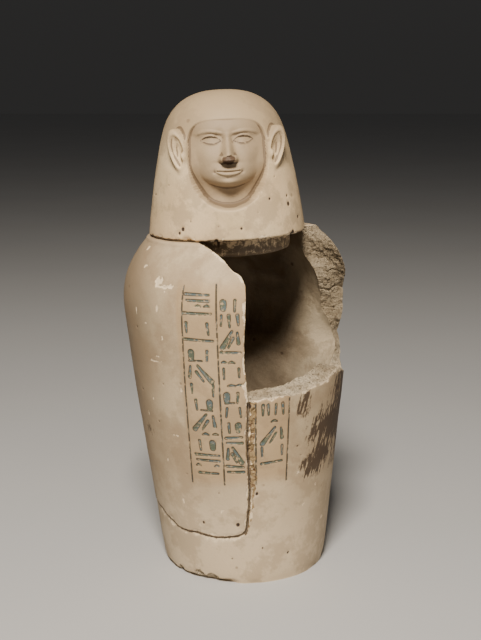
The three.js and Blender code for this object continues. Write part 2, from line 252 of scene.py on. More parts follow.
def upright(points):
    """Azimuth, radius and height on the upright jar of points on the leaning one."""
    x, raised = turned(points[:, 0], points[:, 2], -LEAN)
    z = raised
    for _ in range(3):
        z = raised - rim_slope(x, z)
    return np.degrees(np.arctan2(x, -points[:, 1])), np.hypot(x, points[:, 1]), z


def across_skin(azimuth, from_azimuth, height):
    """Width on the outer face between two azimuths, in millimetres."""
    return np.radians(azimuth - from_azimuth) * outer_radius(height)


def on_skin(azimuth, height):
    """Points on the outer face."""
    return around(azimuth, outer_radius(height), height)


def front_azimuth(azimuth):
    """The same azimuth within half a turn of the front."""
    return (azimuth + 180) % 360 - 180


# ---- the inscription: rules with rows of shallow strokes between them -----------------------

# Each rule stands at one azimuth at its foot and another at its top.
RULE_FOOT = 84
RULES = [{"foot": -29.6, "top": -25.9, "end": 236}, {"foot": -9.7, "top": -9.2, "end": 238},
         {"foot": 8.2, "top": 8.2, "end": 150}, {"foot": 26.5, "top": 26.5, "end": 150}]
# Each panel is ruled off by two azimuths, and its rows fill it from the top down.
PANELS = [{"left": -28.0, "right": -9.6, "foot": 88, "top": 230},
          {"left": -9.4, "right": 3.0, "foot": 88, "top": 226},
          {"left": 8.4, "right": 26.2, "foot": 90, "top": 146}]
STROKE_DEPTH = 0.7
RULE_HALF = 0.35
STROKES_SEED = 23
LEAST_ROW = 4.5
FARTHEST_INK = 4.0


def stroke(x0, z0, x1, z1, wide0, wide1):
    """A stroke from one end to the other, with its half-width at each."""
    return {"ends": (x0, z0, x1, z1), "wide": (wide0, wide1)}


# Each kind of row gives its strokes, about the middle of its top, and how tall it is.


def row_of_bars(half, rng):
    tilt = rng.uniform(-0.5, 0.5)
    side = half * rng.uniform(0.62, 0.82)
    strokes = [stroke(-side, tilt, side, -tilt, 1.0, 0.7)]
    if rng.random() < 0.6:
        strokes.append(stroke(-side * 0.9, -4.2, side, -4.4, 0.7, 1.0))
    return strokes, 4.5


def row_of_uprights(half, rng):
    count = int(rng.integers(2, 5))
    strokes = []
    for i in range(count):
        x = half * (-0.62 + 1.24 * i / (count - 1)) + rng.uniform(-0.6, 0.6)
        lean = rng.uniform(-1.0, 1.0)
        strokes.append(stroke(x - lean, 0.5, x, rng.uniform(-8.0, -6.0), rng.uniform(0.7, 1.3), 0.6))
    return strokes, 8.5


def row_of_slants(half, rng):
    way = 1 if rng.random() < 0.7 else -1
    strokes = [stroke(-0.6 * half * way, -12.0, 0.15 * half * way, 0.0, 1.9, 0.8),
               stroke(-0.15 * half * way, -12.0, 0.22 * half * way, -5.0, 0.6, 1.1),
               stroke(0.62 * half * way, -9.0, 0.55 * half * way, -1.0, 1.3, 0.7)]
    return strokes, 12.5


def row_of_dabs(half, rng):
    strokes = []
    for x in (-0.55, 0.05, 0.6):
        if rng.random() < 0.75:
            bend = rng.uniform(0.4, 1.0)
            at, wide = x * half + rng.uniform(-0.8, 0.8), rng.uniform(1.6, 2.6)
            strokes.append(stroke(at - wide, -bend, at, 0.0, 0.5, 0.9))
            strokes.append(stroke(at, 0.0, at + wide, -bend, 0.9, 0.5))
    return strokes, 3.0


def row_of_blocks(half, rng):
    side = half * rng.choice([-0.45, 0.4])
    strokes = [stroke(side, -1.5, side, -5.5, 2.4, 2.1),
               stroke(-side, 0.0, -side * 0.9, -7.5, 1.0, 0.7)]
    if rng.random() < 0.5:
        strokes.append(stroke(-side * 0.3, -7.6, side * 1.3, -7.9, 0.5, 0.6))
    return strokes, 8.5


def lay_strokes():
    """All strokes: the azimuth and height of the row's middle, and the stroke about it."""
    rng = np.random.default_rng(STROKES_SEED)
    rows = (row_of_bars, row_of_uprights, row_of_slants, row_of_dabs, row_of_blocks)
    laid = []
    for panel in PANELS:
        middle = (panel["left"] + panel["right"]) / 2
        height = panel["top"]
        last = None
        while height - panel["foot"] > LEAST_ROW:
            make_row = rows[int(rng.integers(len(rows)))]
            half = abs(float(across_skin(panel["right"], panel["left"], height))) / 2
            strokes, tall = make_row(half, rng)
            if make_row is last or height - tall < panel["foot"]:
                continue
            laid += [(middle, height, s) for s in strokes]
            height -= tall + rng.uniform(2.4, 3.6)
            last = make_row
    return laid


STROKES = lay_strokes()


def ink_distance(azimuth, height):
    """Distance to the nearest edge of a stroke or rule: negative within one."""
    nearest = np.full(azimuth.shape, FARTHEST_INK)
    for rule in RULES:
        along = np.clip((height - RULE_FOOT) / (rule["end"] - RULE_FOOT), 0, 1)
        at = rule["foot"] + (rule["top"] - rule["foot"]) * along
        over = np.abs(across_skin(azimuth, at, height)) - RULE_HALF
        past = np.maximum(RULE_FOOT - height, height - rule["end"])
        nearest = np.minimum(nearest, np.maximum(over, past))
    for middle, level, one in STROKES:
        x0, z0, x1, z1 = one["ends"]
        near = np.abs(height - level - (z0 + z1) / 2) < abs(z0 - z1) / 2 + 6
        near &= np.abs(azimuth - middle) < 16
        x = across_skin(azimuth[near], middle, height[near]) - x0
        z = height[near] - level - z0
        dx, dz = x1 - x0, z1 - z0
        t = np.clip((x * dx + z * dz) / (dx * dx + dz * dz), 0, 1)
        wide = one["wide"][0] + (one["wide"][1] - one["wide"][0]) * t
        nearest[near] = np.minimum(nearest[near], np.hypot(x - t * dx, z - t * dz) - wide)
    return nearest


def panel_ground(azimuth, height):
    """1 where the inscribed ground keeps its warmer colour."""
    sherd = between(azimuth, -30.5, -28.5, 4.6, 5.2) * between(height, 80, 92, 232, 244)
    body = between(azimuth, 7.8, 8.6, 26.0, 27.2) * ramp(height, 80, 92)
    return np.maximum(sherd, body)


# ---- wear of the jar's skin -----------------------------------------------------------------

# Shallow scars that show paler stone: azimuth, height, half-width, half-height, depth.
SCARS = [(-56, 246, 2.4, 1.2, 0.4), (-41.5, 236, 3.4, 3.0, 0.7), (-37.5, 233, 2.2, 2.0, 0.6),
         (-34, 234.5, 2.8, 1.2, 0.5), (-41, 218, 1.0, 2.4, 0.4), (-65, 257, 1.8, 1.2, 0.4),
         (-46, 177, 5.0, 0.6, 0.3), (-44, 181, 3.0, 0.5, 0.25), (-30.5, 158, 0.9, 1.8, 0.25),
         (-58, 213, 0.6, 3.4, 0.3), (-50, 205, 2.6, 0.6, 0.25), (-39, 196, 0.6, 2.4, 0.25),
         (-60, 132, 0.7, 2.2, 0.3), (-37, 120, 2.2, 0.5, 0.25), (-47, 98, 0.6, 1.6, 0.25),
         (34, 88, 0.6, 2.0, 0.25), (20, 58, 2.4, 0.6, 0.25), (50, 72, 0.7, 1.8, 0.25),
         (-52, 146, 1.0, 1.4, 0.3), (-12, 62, 1.4, 0.9, 0.3), (-38, 66, 1.0, 1.8, 0.3),
         (40, 60, 1.2, 0.9, 0.3), (62, 40, 1.8, 1.0, 0.4), (150, 120, 2.4, 1.4, 0.5),
         (-150, 190, 2.0, 2.4, 0.5), (-170, 70, 1.6, 2.0, 0.4), (120, 215, 1.8, 1.2, 0.4)]
# Small dark pits: azimuth, height, radius, depth.
PITS = [(4.9, 146.5, 1.5, 1.2), (-25, 51, 1.0, 0.9), (-3, 51, 1.3, 1.2), (-59, 200, 0.9, 0.6),
        (-50, 128, 0.8, 0.6), (-42, 160, 0.8, 0.5), (-63, 150, 1.0, 0.6), (-33, 90, 0.7, 0.5),
        (8.5, 76, 1.3, 0.8), (-13.5, 77, 0.8, 0.5), (33, 110, 0.8, 0.6), (36, 102, 0.7, 0.5),
        (45, 70, 0.9, 0.6), (58, 55, 0.8, 0.6), (12, 30, 0.8, 0.6), (30, 22, 1.0, 0.7),
        (-8, 22, 0.8, 0.6), (110, 90, 1.2, 0.8), (160, 150, 1.0, 0.7), (-140, 120, 1.2, 0.8),
        (-165, 210, 1.0, 0.7), (135, 40, 1.1, 0.8)]
FILLER_FOOT = 60
FILLER_WIDTH = 5.6
FAR = 99
SEAM_REACH = 4.0
# The lower edge is worn away from beneath on the front left.
FOOT_WEAR = {"left": -88, "right": -4, "depth": 4.2, "tall": 3.2}
FOOT_ROUNDING = 0.9
FLAKE_DEPTH = 0.9


def to_edge(edge, azimuth, height):
    """Width on the outer face to an upright edge, in millimetres."""
    return np.abs(across_skin(azimuth, edge(height), height))


def break_distance(azimuth, height):
    """Rough distance on the outer face to the nearest broken edge, in millimetres."""
    side = np.where(height > 44, to_edge(open_edge, azimuth, height), FAR)
    foot = np.where((azimuth > -86) & (azimuth < 2), np.abs(height - sherd_foot(azimuth)), FAR)
    low = np.where((azimuth > 4) & (azimuth < 100), np.abs(height - break_foot(azimuth)), FAR)
    high = np.where(height > 148, to_edge(right_edge, azimuth, height), FAR)
    return np.minimum.reduce([side, foot, low, high])


def joint_distance(azimuth, height):
    """Distance on the outer face to the open joint round the sherd."""
    side = np.where((height > 42) & (height < 150), to_edge(open_edge, azimuth, height), FAR)
    foot = np.where((azimuth > -86) & (azimuth < 2), np.abs(height - sherd_foot(azimuth)), FAR)
    hidden = np.where((height > 58) & (azimuth < -60), to_edge(hidden_edge, azimuth, height), FAR)
    return np.minimum(np.minimum.reduce([side, foot, hidden]), SEAM_REACH)


def flaked(azimuth, height):
    """1 where the skin has flaked off along a broken edge, in small scallops."""
    points = on_skin(azimuth, height)
    size = 0.7 + 2.4 * lumps(points, 6, 41) + 1.8 * np.maximum(0, lumps(points, 2, 42))
    # The jar's own edge under the sherd has lost more of its skin than the sherd has.
    beneath = (azimuth > -80) & (azimuth < 2) & (height < sherd_foot(azimuth))
    size = size + 1.5 * beneath * (0.7 + 0.9 * lumps(points, 4, 50))
    return 1 - ramp(break_distance(azimuth, height), size, size + 0.5)


def scarred(azimuth, height):
    """Depth of the scars."""
    depth = np.zeros(azimuth.shape)
    points = on_skin(azimuth, height)
    ragged = 0.8 * lumps(points, 1.6, 44)
    for at, level, wide, tall, deep in SCARS:
        over = across_skin(azimuth, at, height)
        away = np.hypot(over / wide, (height - level) / tall) + ragged
        depth = np.maximum(depth, deep * (1 - ramp(away, 0.7, 1.1)))
    return depth


def pitted(pits, azimuth, height, radius):
    """Depth of the pits of a list, on a face at the given distance from the axis."""
    depth = np.zeros(azimuth.shape)
    for at, level, size, deep in pits:
        over = np.radians(azimuth - at) * radius
        depth = np.maximum(depth, deep * bell(over / size, (height - level) / size))
    return depth


def filler(azimuth, height):
    """1 on the crust of filler beside the upright joint."""
    over = across_skin(azimuth, open_edge(height), height)
    points = on_skin(azimuth, height)
    edge = FILLER_WIDTH + 2.2 * lumps(points, 3.4, 45) - 3.4 * ramp(-height, -92, -FILLER_FOOT)
    return between(over, -0.5, 0.2, edge - 0.6, edge + 0.3) * ramp(height, 44, 52)


def foot_worn(azimuth, height, points):
    """Depth of the wear at the lower edge, measured up from the ground the jar leans on."""
    ground = -np.sin(np.radians(azimuth)) * outer_radius(height) * math.tan(LEAN)
    tall = FOOT_WEAR["tall"] * (1 + 0.5 * lumps(points, 9, 49))
    left, right = FOOT_WEAR["left"], FOOT_WEAR["right"]
    across = between(azimuth, left, left + 18, right - 9, right)
    return FOOT_WEAR["depth"] * across * (1 - ramp(height - ground, 0.3 * tall, tall))


def worn_skin(azimuth, height):
    """How far the outer face stands from its turned radius."""
    azimuth = front_azimuth(azimuth)
    points = on_skin(azimuth, height)
    inked = 1 - ramp(ink_distance(azimuth, height), -0.55, 0.3)
    crust = filler(azimuth, height)
    relief = 0.2 * lumps(points, 23, 3) + 0.07 * lumps(points, 6, 4)
    flakes = FLAKE_DEPTH * flaked(azimuth, height) * (0.6 + 0.4 * lumps(points, 2, 46))
    relief -= STROKE_DEPTH * inked + flakes
    relief -= scarred(azimuth, height) + pitted(PITS, azimuth, height, outer_radius(height))
    relief += crust * (2.2 * crumble(points, 2.8, 47) - 0.7)
    relief -= FOOT_ROUNDING * (1 - ramp(height, 0, 4)) * (0.5 + 0.5 * lumps(points, 8, 48))
    return relief - foot_worn(azimuth, height, points)


def bored_wall(azimuth, height):
    """How far the inside stands from its bored radius."""
    points = around(azimuth, inner_radius(height), height)
    return 0.5 * lumps(points, 17, 6) + 0.25 * lumps(points, 4, 7)


def turned_jar(name, azimuths, outer_heights, inner_heights, finishes):
    """The whole jar as turned, before anything is broken off it."""
    rim_edge = float(outer_radius(261)) - 2
    rim = [(rim_edge + RIM_ROUND * out, RIM_HEIGHT - RIM_ROUND * down)
           for out, down in ((1, 1), (0.87, 0.5), (0.5, 0.13), (-0.5, 0))]
    rim += [((rim_edge + MOUTH_RADIUS) / 2, RIM_HEIGHT), (MOUTH_RADIUS, RIM_HEIGHT)]
    a, h = np.meshgrid(azimuths, outer_heights)
    outside = around(a, outer_radius(h) + worn_skin(a, h), h)
    flat = np.array([around(azimuths, r, np.full_like(azimuths, z)) for r, z in rim])
    a, h = np.meshgrid(azimuths, inner_heights)
    pocket = POCKET["depth"] * bell((front_azimuth(a) - POCKET["azimuth"]) / POCKET["wide"],
                                    (h - POCKET["height"]) / POCKET["tall"])
    inside = around(a, inner_radius(h) + pocket * (h < 240) * (h > 60) + bored_wall(a, h), h)
    rings = np.concatenate([outside, flat, inside])
    points, faces = turned_skin(rings, (0, 0, outer_heights[0]), (0, 0, FLOOR_THICKNESS))
    places = np.full(len(faces), SKIN, np.int32)
    first_inner = (len(outer_heights) + len(rim) - 1) * len(azimuths)
    places[first_inner:(len(rings) - 1) * len(azimuths)] = HOLLOW
    places[-len(azimuths):] = HOLLOW
    jar = mesh_object(name, leaned(points), faces)
    for finish in finishes:
        jar.data.materials.append(finish)
    jar.data.polygons.foreach_set("material_index", places)
    return jar


# ---- what is broken off the jar --------------------------------------------------------------

# A cutter's layers, from outside the wall inwards, and how far it stands above the rim.
LAYERS = spread(-14, [(-1.5, 2), (1.5, 6), (WALL + 3, 28), (45, 4)])
ABOVE_RIM = 12
# The radius at which a grown cutter is wider by just what it is grown.
GROWN_AT = 86
GROUND_BLOCK = (400, 400, 60)
# Cracks across the right-hand break: height at the outer face, drop inwards, half-width, depth.
CRACKS = [(215, 3, 1.0, 2.0), (227, -2, 0.9, 1.4), (199, 4, 0.8, 1.2)]


def block(counts):
    """Lattice points of a unit block's surface and its faces."""
    nx, ny, nz = counts
    number = np.arange((nx + 1) * (ny + 1) * (nz + 1)).reshape(nx + 1, ny + 1, nz + 1)
    faces = []
    for grid, flipped in ((number[:, :, 0], False), (number[:, :, -1], True),
                          (number[:, 0, :], True), (number[:, -1, :], False),
                          (number[0, :, :], False), (number[-1, :, :], True)):
        quad = np.stack([grid[:-1, :-1], grid[:-1, 1:], grid[1:, 1:], grid[1:, :-1]], -1)
        quad = quad.reshape(-1, 4)
        faces.append(quad[:, ::-1] if flipped else quad)
    faces = np.concatenate(faces)
    used, faces = np.unique(faces, return_inverse=True)
    i, j, k = np.unravel_index(used, number.shape)
    return np.stack([i / nx, j / ny, k / nz], -1), faces.reshape(-1, 4)


def wall_cutter(name, sides, foot, steps, grow, rough, seed):
    """A block that follows the jar's wall, from its foot to above the rim.

    Its width runs round the axis and its depth goes inwards through the wall."""
    lattice, faces = block((steps[0], len(LAYERS) - 1, steps[1]))
    across = lattice[:, 0]
    depth = LAYERS[np.round(lattice[:, 1] * (len(LAYERS) - 1)).astype(int)]
    inward = np.clip(depth / WALL, 0, 1)
    low = foot(across, inward) - grow
    height = low + (RIM_HEIGHT + ABOVE_RIM - low) * lattice[:, 2]
    radius = outer_radius(height) - depth
    left, right = sides(height, inward)
    grown = np.degrees(grow / GROWN_AT)
    azimuth = (left - grown) * (1 - across) + (right + grown) * across
    points = around(azimuth, radius, height)
    shift = np.stack([crumble(points, 7, seed + 10 * i) for i in range(3)], -1)
    grains = np.stack([crumble(points, 2.5, seed + 5 + 10 * i) for i in range(3)], -1)
    points += rough * (0.5 * shift + 0.8 * grains)
    return mesh_object(name, leaned(points), faces, np.full(len(faces), BREAK, np.int32))


def sherd_cutter(name, grow):
    def foot(across, inward):
        return sherd_foot(-84 + 86 * across) + 3 * inward

    def sides(height, inward):
        return hidden_edge(height), open_edge(height + UNDERCUT * inward) - 2 * inward

    return wall_cutter(name, sides, foot, (110, 240), grow, 0.35, 21)


def chunk_cutter(name):
    def foot(across, inward):
        return break_foot(-16 + 115 * across) + BREAK_FOOT_RISE * inward

    def sides(height, inward):
        rim_side = right_edge(height) * (1 - inward) + right_edge_inside(height) * inward
        for level, drop, wide, deep in CRACKS:
            wander = 1.2 * np.sin(inward * 9 + level)
            gap = height - level + drop * inward + wander
            rim_side = rim_side + np.degrees(deep / 80) * bell(gap / wide)
        return open_edge(height) - 20, rim_side

    return wall_cutter(name, sides, foot, (210, 210), 0, 1.5, 5)


# Chips off the lower edge: azimuth, distance out, height, radius, roughness.
BASE_CHIPS = [(-23, 75.4, -3, 14, 1.8), (-50, 66.5, 2, 4, 0.6), (-32, 74.4, -1.5, 12.4, 1.6),
              (-15, 75, -3.5, 12.5, 1.2)]


def ball(name, centre, radius, rough, seed):
    """A lumpy ball, for a chip."""
    bm = bmesh.new()
    bmesh.ops.create_icosphere(bm, subdivisions=5, radius=radius)
    points = np.array([v.co for v in bm.verts])
    faces = np.array([[v.index for v in f.verts] for f in bm.faces])
    bm.free()
    out = points / np.linalg.norm(points, axis=1, keepdims=True)
    points += out * (rough * crumble(points, radius / 3, seed))[:, None]
    return mesh_object(name, points + centre, faces, np.full(len(faces), BREAK, np.int32))


def ground_block():
    lattice, faces = block((1, 1, 1))
    return mesh_object("ground_cut", (lattice - (0.5, 0.5, 1)) * GROUND_BLOCK, faces)


def cut(thing, tool, kind):
    """Cuts with a tool, or keeps only what lies in it, and throws the tool away."""
    for finish in thing.data.materials:
        tool.data.materials.append(finish)
    change = thing.modifiers.new(tool.name, "BOOLEAN")
    change.operation = kind
    change.solver = "MANIFOLD"
    change.object = tool
    bpy.context.view_layer.update()
    seen = thing.evaluated_get(bpy.context.evaluated_depsgraph_get())
    result = bpy.data.meshes.new_from_object(seen)
    thing.modifiers.clear()
    thing.data = result
    bpy.data.objects.remove(tool)


@contextmanager
def opened(mesh):
    """The mesh opened for editing, and written back afterwards."""
    bm = bmesh.new()
    bm.from_mesh(mesh)
    yield bm
    bm.to_mesh(mesh)
    bm.free()


def drop_crumbs(mesh):
    """Deletes the crumbs that the cuts leave loose, and keeps the one stone."""
    ends = np.zeros(len(mesh.edges) * 2, np.int32)
    mesh.edges.foreach_get("vertices", ends)
    start, end = ends.reshape(-1, 2).T
    stone = np.arange(len(mesh.vertices))
    while (stone[start] != stone[end]).any():
        lowest = stone.copy()
        np.minimum.at(lowest, start, stone[end])
        np.minimum.at(lowest, end, stone[start])
        stone = lowest[lowest]
    largest = np.bincount(stone).argmax()
    with opened(mesh) as bm:
        crumbs = [v for v in bm.verts if stone[v.index] != largest]
        bmesh.ops.delete(bm, geom=crumbs, context="VERTS")


def points_of(mesh):
    """Places of a mesh's points, in millimetres."""
    co = np.zeros(len(mesh.vertices) * 3, np.float32)
    mesh.vertices.foreach_get("co", co)
    return co.reshape(-1, 3).astype(float) / MM


def mark(mesh, name, values):
    """Keeps one number for each point of the mesh, for its materials to read."""
    layer = mesh.attributes.new(name, "FLOAT", "POINT")
    layer.data.foreach_set("value", np.asarray(values, np.float32))


def smooth_but_arrises(mesh, angle):
    """Shades the mesh smooth, with every edge sharper than the angle kept crisp."""
    mesh.shade_smooth()
    with opened(mesh) as bm:
        for edge in bm.edges:
            edge.smooth = edge.calc_face_angle(0) < angle


# The dark stain, as soft blots: azimuth, height, half-width in degrees, half-height, strength.
STAIN = [(64, 118, 15, 14, 1.0), (80, 124, 16, 28, 1.0), (47, 90, 8, 8, 0.8),
         (37, 148, 2.4, 11, 0.75), (39, 157, 3.0, 4, 0.6), (33.8, 142, 2.0, 7, 0.55),
         (96, 120, 14, 34, 0.85), (54, 99, 9, 8, 0.9), (84, 152, 14, 10, 0.6),
         (108, 112, 12, 30, 0.5), (49, 127, 6, 6, 0.55), (-62, 118, 4, 7, 0.3)]
STAIN_SPREAD = 1.25
STAIN_STRENGTH = 1.25


def stained(azimuth, height):
    total = np.zeros(azimuth.shape)
    for at, level, wide, tall, strength in STAIN:
        blot = bell((azimuth - at) / wide / STAIN_SPREAD, (height - level) / tall / STAIN_SPREAD)
        total = np.maximum(total, strength * blot)
    return STAIN_STRENGTH * total


def mark_wear(mesh):
    """Marks where the jar's skin is inked, flaked, filled and stained."""
    azimuth, radius, height = upright(points_of(mesh))
    mark(mesh, "ink", ink_distance(azimuth, height))
    mark(mesh, "panel", panel_ground(azimuth, height))
    mark(mesh, "flake", np.maximum(0.82 * flaked(azimuth, height), scarred(azimuth, height) / 0.3))
    mark(mesh, "pit", pitted(PITS, azimuth, height, outer_radius(height)) / 0.6)
    mark(mesh, "filler", filler(azimuth, height))
    mark(mesh, "stain", stained(azimuth, height))
    mark(mesh, "seam", joint_distance(azimuth, height))
    arris = 1 - ramp(outer_radius(height) - radius, 0.3, 3.5)
    mark(mesh, "bruise", arris * (1 - ramp(height, 164, 172)))


def make_jar_body(finishes):
    azimuths = spread(4, [(30, 62), (82, 36), (112, 36), (270, 60), (330, 60), (364, 38)])[:-1]
    outer = spread(-5, [(8, 17), (36, 14), (84, 40), (162, 112), (254, 50),
                        (RIM_HEIGHT - RIM_ROUND - 0.6, 5)])
    inner = spread(260, [(150, 75), (44, 20)])
    jar = turned_jar("jar_body_stone", azimuths, outer, inner, finishes)
    cut(jar, ground_block(), "DIFFERENCE")
    cut(jar, sherd_cutter("sherd_cut", JOINT), "DIFFERENCE")
    cut(jar, chunk_cutter("chunk_cut"), "DIFFERENCE")
    for number, (azimuth, out, height, radius, rough) in enumerate(BASE_CHIPS):
        spot = around(azimuth, out, height)
        cut(jar, ball(f"base_chip_{number}", spot, radius, rough, 31 + number), "DIFFERENCE")
    return jar


def make_sherd(finishes):
    azimuths = spread(-120, [(-70, 40), (-32, 80), (8, 105), (240, 40)])[:-1]
    outer = spread(-5, [(38, 6), (82, 36), (240, 240), (254, 14), (RIM_HEIGHT - RIM_ROUND - 0.6, 5)])
    inner = spread(260, [(44, 50)])
    sherd = turned_jar("jar_sherd_stone", azimuths, outer, inner, finishes)
    cut(sherd, sherd_cutter("sherd_shape", 0.0), "INTERSECT")
    return sherd


# ---- the carved lid ------------------------------------------------------------------------

def wig_half_width(z):
    """Half-width of the wig at a height: a long taper that a dome closes."""
    worn = 0.35 * np.maximum(0, 2 - z) ** 2
    taper = 60 - 0.11 * z - 0.0009 * z * z - worn
    rise = np.clip((z - 60) / (LID_HEIGHT - 60), 0, 1)
    return taper * (1 - rise ** 4) ** 0.4


def wig(x, y, z):
    return np.hypot(x, y / (1 + 0.001 * z)) - wig_half_width(z) + np.maximum(0, z - LID_HEIGHT)


def opening(x, z):
    """The opening of the wig: square at the temples, and a deep U below the chin."""
    half, middle = OPENING["half"], OPENING["middle"]
    across = np.abs(x) / half
    above = np.maximum(0, z - middle) / OPENING["up"]
    below = np.maximum(0, middle - z) / OPENING["down"]
    temple, throat = OPENING["temple"], OPENING["throat"]
    top = ((across ** temple + above ** temple) ** (1 / temple) - 1) * half
    low = ((across ** throat + below ** throat) ** (1 / throat) - 1) * half
    return np.where(z > middle, top, low)


def hair(x, y, z):
    """The wig with its opening sunk into it, deepest at the throat."""
    depth = 3.2 + 10 * (1 - ramp(z, CHIN - 6, CHIN + THIRD))
    inside = np.where(y < 0, ramp(-opening(x, z), 0, OPENING["step"]), 0)
    return wig(x, y, z) + depth * inside


profile_line = through([(28, 52), (CHIN + 5, 54), (MOUTH_LINE, 52.6), (NOSE_BASE, 51),
                        (66, 49.5), (EYE_LINE, 48), (BROW, 48.4), (87, 44.6), (95, 40)])


def nose(x, z):
    down = np.clip((BROW - 3 - z) / (BROW - 3 - NOSE_BASE), 0, 1)
    height = 1.8 + 8.6 * down ** 1.15
    wide = 2.5 + 1.9 * down
    ends = between(z, NOSE_BASE - 0.9, NOSE_BASE + 1.8, BROW - 5, BROW + 1)
    ridge = height * np.exp(-((np.abs(x) / wide) ** 2.6))
    flank = 1.6 * down * bell(x / 7.5)
    wings = 4.4 * bell((np.abs(x) - 4.5) / 2.0, (z - NOSE_BASE - 2.0) / 2.1)
    holes = -1.6 * bell((np.abs(x) - 2.7) / 1.25, (z - NOSE_BASE - 0.15) / 0.9)
    return (ridge + flank) * ends + wings * ramp(z, NOSE_BASE - 1.2, NOSE_BASE + 0.7) + holes


def lip(distance, size):
    """The roll of one lip: full near its edge, low where the lips meet."""
    inside = np.clip(distance / size, 0, 1)
    fall = ramp(-distance, -size * 1.3, -size * 0.6)
    rolled = np.sqrt(np.clip(inside * (1.55 - inside) / 0.6, 0, 1)) * fall
    return np.where(distance > 0, rolled, 0)


def mouth(x, z):
    half = FACE_HALF / 3
    side = np.clip(np.abs(x) / half, 0, 1)
    ends = (1 - side ** 2) ** 0.6
    up = z - MOUTH_LINE - 0.5 * side ** 2
    upper = lip(up, 2.3 * ends * (1 - 0.16 * bell(x / 1.5)) + 0.15)
    lower = lip(-up, 2.9 * ends + 0.15)
    seam = -0.5 * np.exp(-(up / 0.6) ** 2) * ramp(-side, -1.0, -0.8)
    dimple = -1.0 * bell((np.abs(x) - half - 0.3) / 1.5, (up + 0.6) / 1.5)
    groove = -0.5 * bell(x / 1.3, (z - MOUTH_LINE - 4.9) / 1.9)
    under = -1.1 * bell(x / 6, (z - MOUTH_LINE + 5.0) / 1.7)
    mound = 1.7 * bell(x / 11, (z - MOUTH_LINE) / 6.0)
    return mound + (1.35 * upper + 1.6 * lower) * ends ** 0.5 + seam + dimple + groove + under


def eye_lines(x, z):
    """Place across an eye, height over its axis, and the two lid lines there."""
    across = (np.abs(x) - EYE) / 6.7
    up = z - EYE_LINE - 0.25 * across
    bow = np.clip(1 - across ** 2, 0, 1)
    return across, up, 3.0 * bow ** 0.75, -2.1 * bow ** 0.9


def eye(x, z):
    across, up, top, low = eye_lines(x, z)
    beside = np.abs(x) - EYE
    socket = (-2.9 * bell(beside / 9.5, (up - 0.5) / 5.0)
              - 1.6 * bell((np.abs(x) - 6.0) / 3.0, (z - EYE_LINE - 2.0) / 5.0))
    mound = 3.0 * bell(beside / 7.0, (up + 0.2) / 3.9)
    within = ramp(np.minimum(top - up, up - low), 0.0, 0.4) * (np.abs(across) < 1)
    eyeball = np.sqrt(np.clip(1 - (across * 0.9) ** 2 - (up / 4.2) ** 2, 0, 1))
    fade = np.clip(1.1 - across ** 2, 0, 1) ** 0.5
    upper_lid = 0.8 * np.exp(-((up - top - 0.4) / 0.7) ** 2) * fade
    lower_lid = 0.5 * np.exp(-((up - low + 0.35) / 0.6) ** 2) * fade
    crease = -0.35 * np.exp(-((up - top - 2.1) / 0.55) ** 2) * np.clip(1.2 - across ** 2, 0, 1)
    return socket + mound - within * (1.15 - 0.75 * eyeball) + upper_lid + lower_lid + crease


def brow_line(x):
    side = np.abs(x)
    rise = 1.9 * np.sin(np.clip((side - 3.5) / 20, 0, 1) * np.pi * 0.82)
    return BROW - 0.6 + rise - 2.6 * np.clip((side - 12) / 12, 0, 1) ** 2


def brow(x, z):
    side = np.abs(x)
    band = np.exp(-((np.abs(z - brow_line(x)) / 1.15) ** 3.0))
    return 0.75 * band * ramp(side, 2.6, 5) * (1 - ramp(side, 19.5, 23))


def face_depth(x, z):
    """How far the face stands forward of the axis, seen from the front."""
    turn = 64
    below = np.clip((turn - z) / (turn - CHIN), 0, 1.4)
    half = FACE_HALF * (1 - 0.30 * below ** 2)
    edge = (np.abs(x) / half) ** 2.4 + below ** 5
    back = 24 * (1 - np.sqrt(np.maximum(0, 1 - edge))) + 30 * np.maximum(0, edge - 1)
    chin = 4.6 * bell(x / 8, (z - CHIN - 5.0) / 5.0)
    cheeks = 1.8 * bell((np.abs(x) - 15) / 7.5, (z - 60) / 7.5)
    return profile_line(z) + chin + cheeks + nose(x, z) + mouth(x, z) + eye(x, z) + brow(x, z) - back


def egg(out, up, front, half_width, half_height, half_depth, scale):
    """Rough distance outside an egg, true where its half-size is scale."""
    shape = np.sqrt((out / half_width) ** 2 + (up / half_height) ** 2 + (front / half_depth) ** 2)
    return (shape - 1) * scale


def ear(x, y, z):
    """An ear: an egg with a bowl sunk in it, the fold inside its rim and the flap in front."""
    turn, tilt = EAR["turn"], EAR["tilt"]
    out = np.abs(x) - EAR["out"]
    along, behind = turned(out, y - EAR["front"], -turn)
    front = -behind
    rise = z - EAR["height"]
    up = rise * math.cos(tilt) - along * math.sin(tilt)
    over = along * math.cos(tilt) - rise * math.sin(tilt)
    wide = EAR["wide"] * (1 + 0.22 * np.clip(up / EAR["tall"], -1.5, 1.5))
    shell = egg(over, up, front, wide, EAR["tall"], EAR["thick"], EAR["thick"])
    bowl = egg(over, up - 2.2, front - EAR["thick"], wide - 2.0, EAR["tall"] - 4.6, 6.0, 5.4)
    hollowed = soft_higher(shell, -bowl, 0.8)
    ring = np.hypot((over + 0.6) / 3.4, (up - 1.0) / 8.8)
    fold = np.maximum(np.hypot((ring - 1) * 3.4, front - 1.2) - 1.15, -(over + 1.5))
    flap = egg(over + 4.2, up + 1.5, front - 3.2, 2.0, 3.0, 3.2, 2.0)
    return soft_lower(soft_lower(hollowed, fold, 1.0), flap, 1.2)


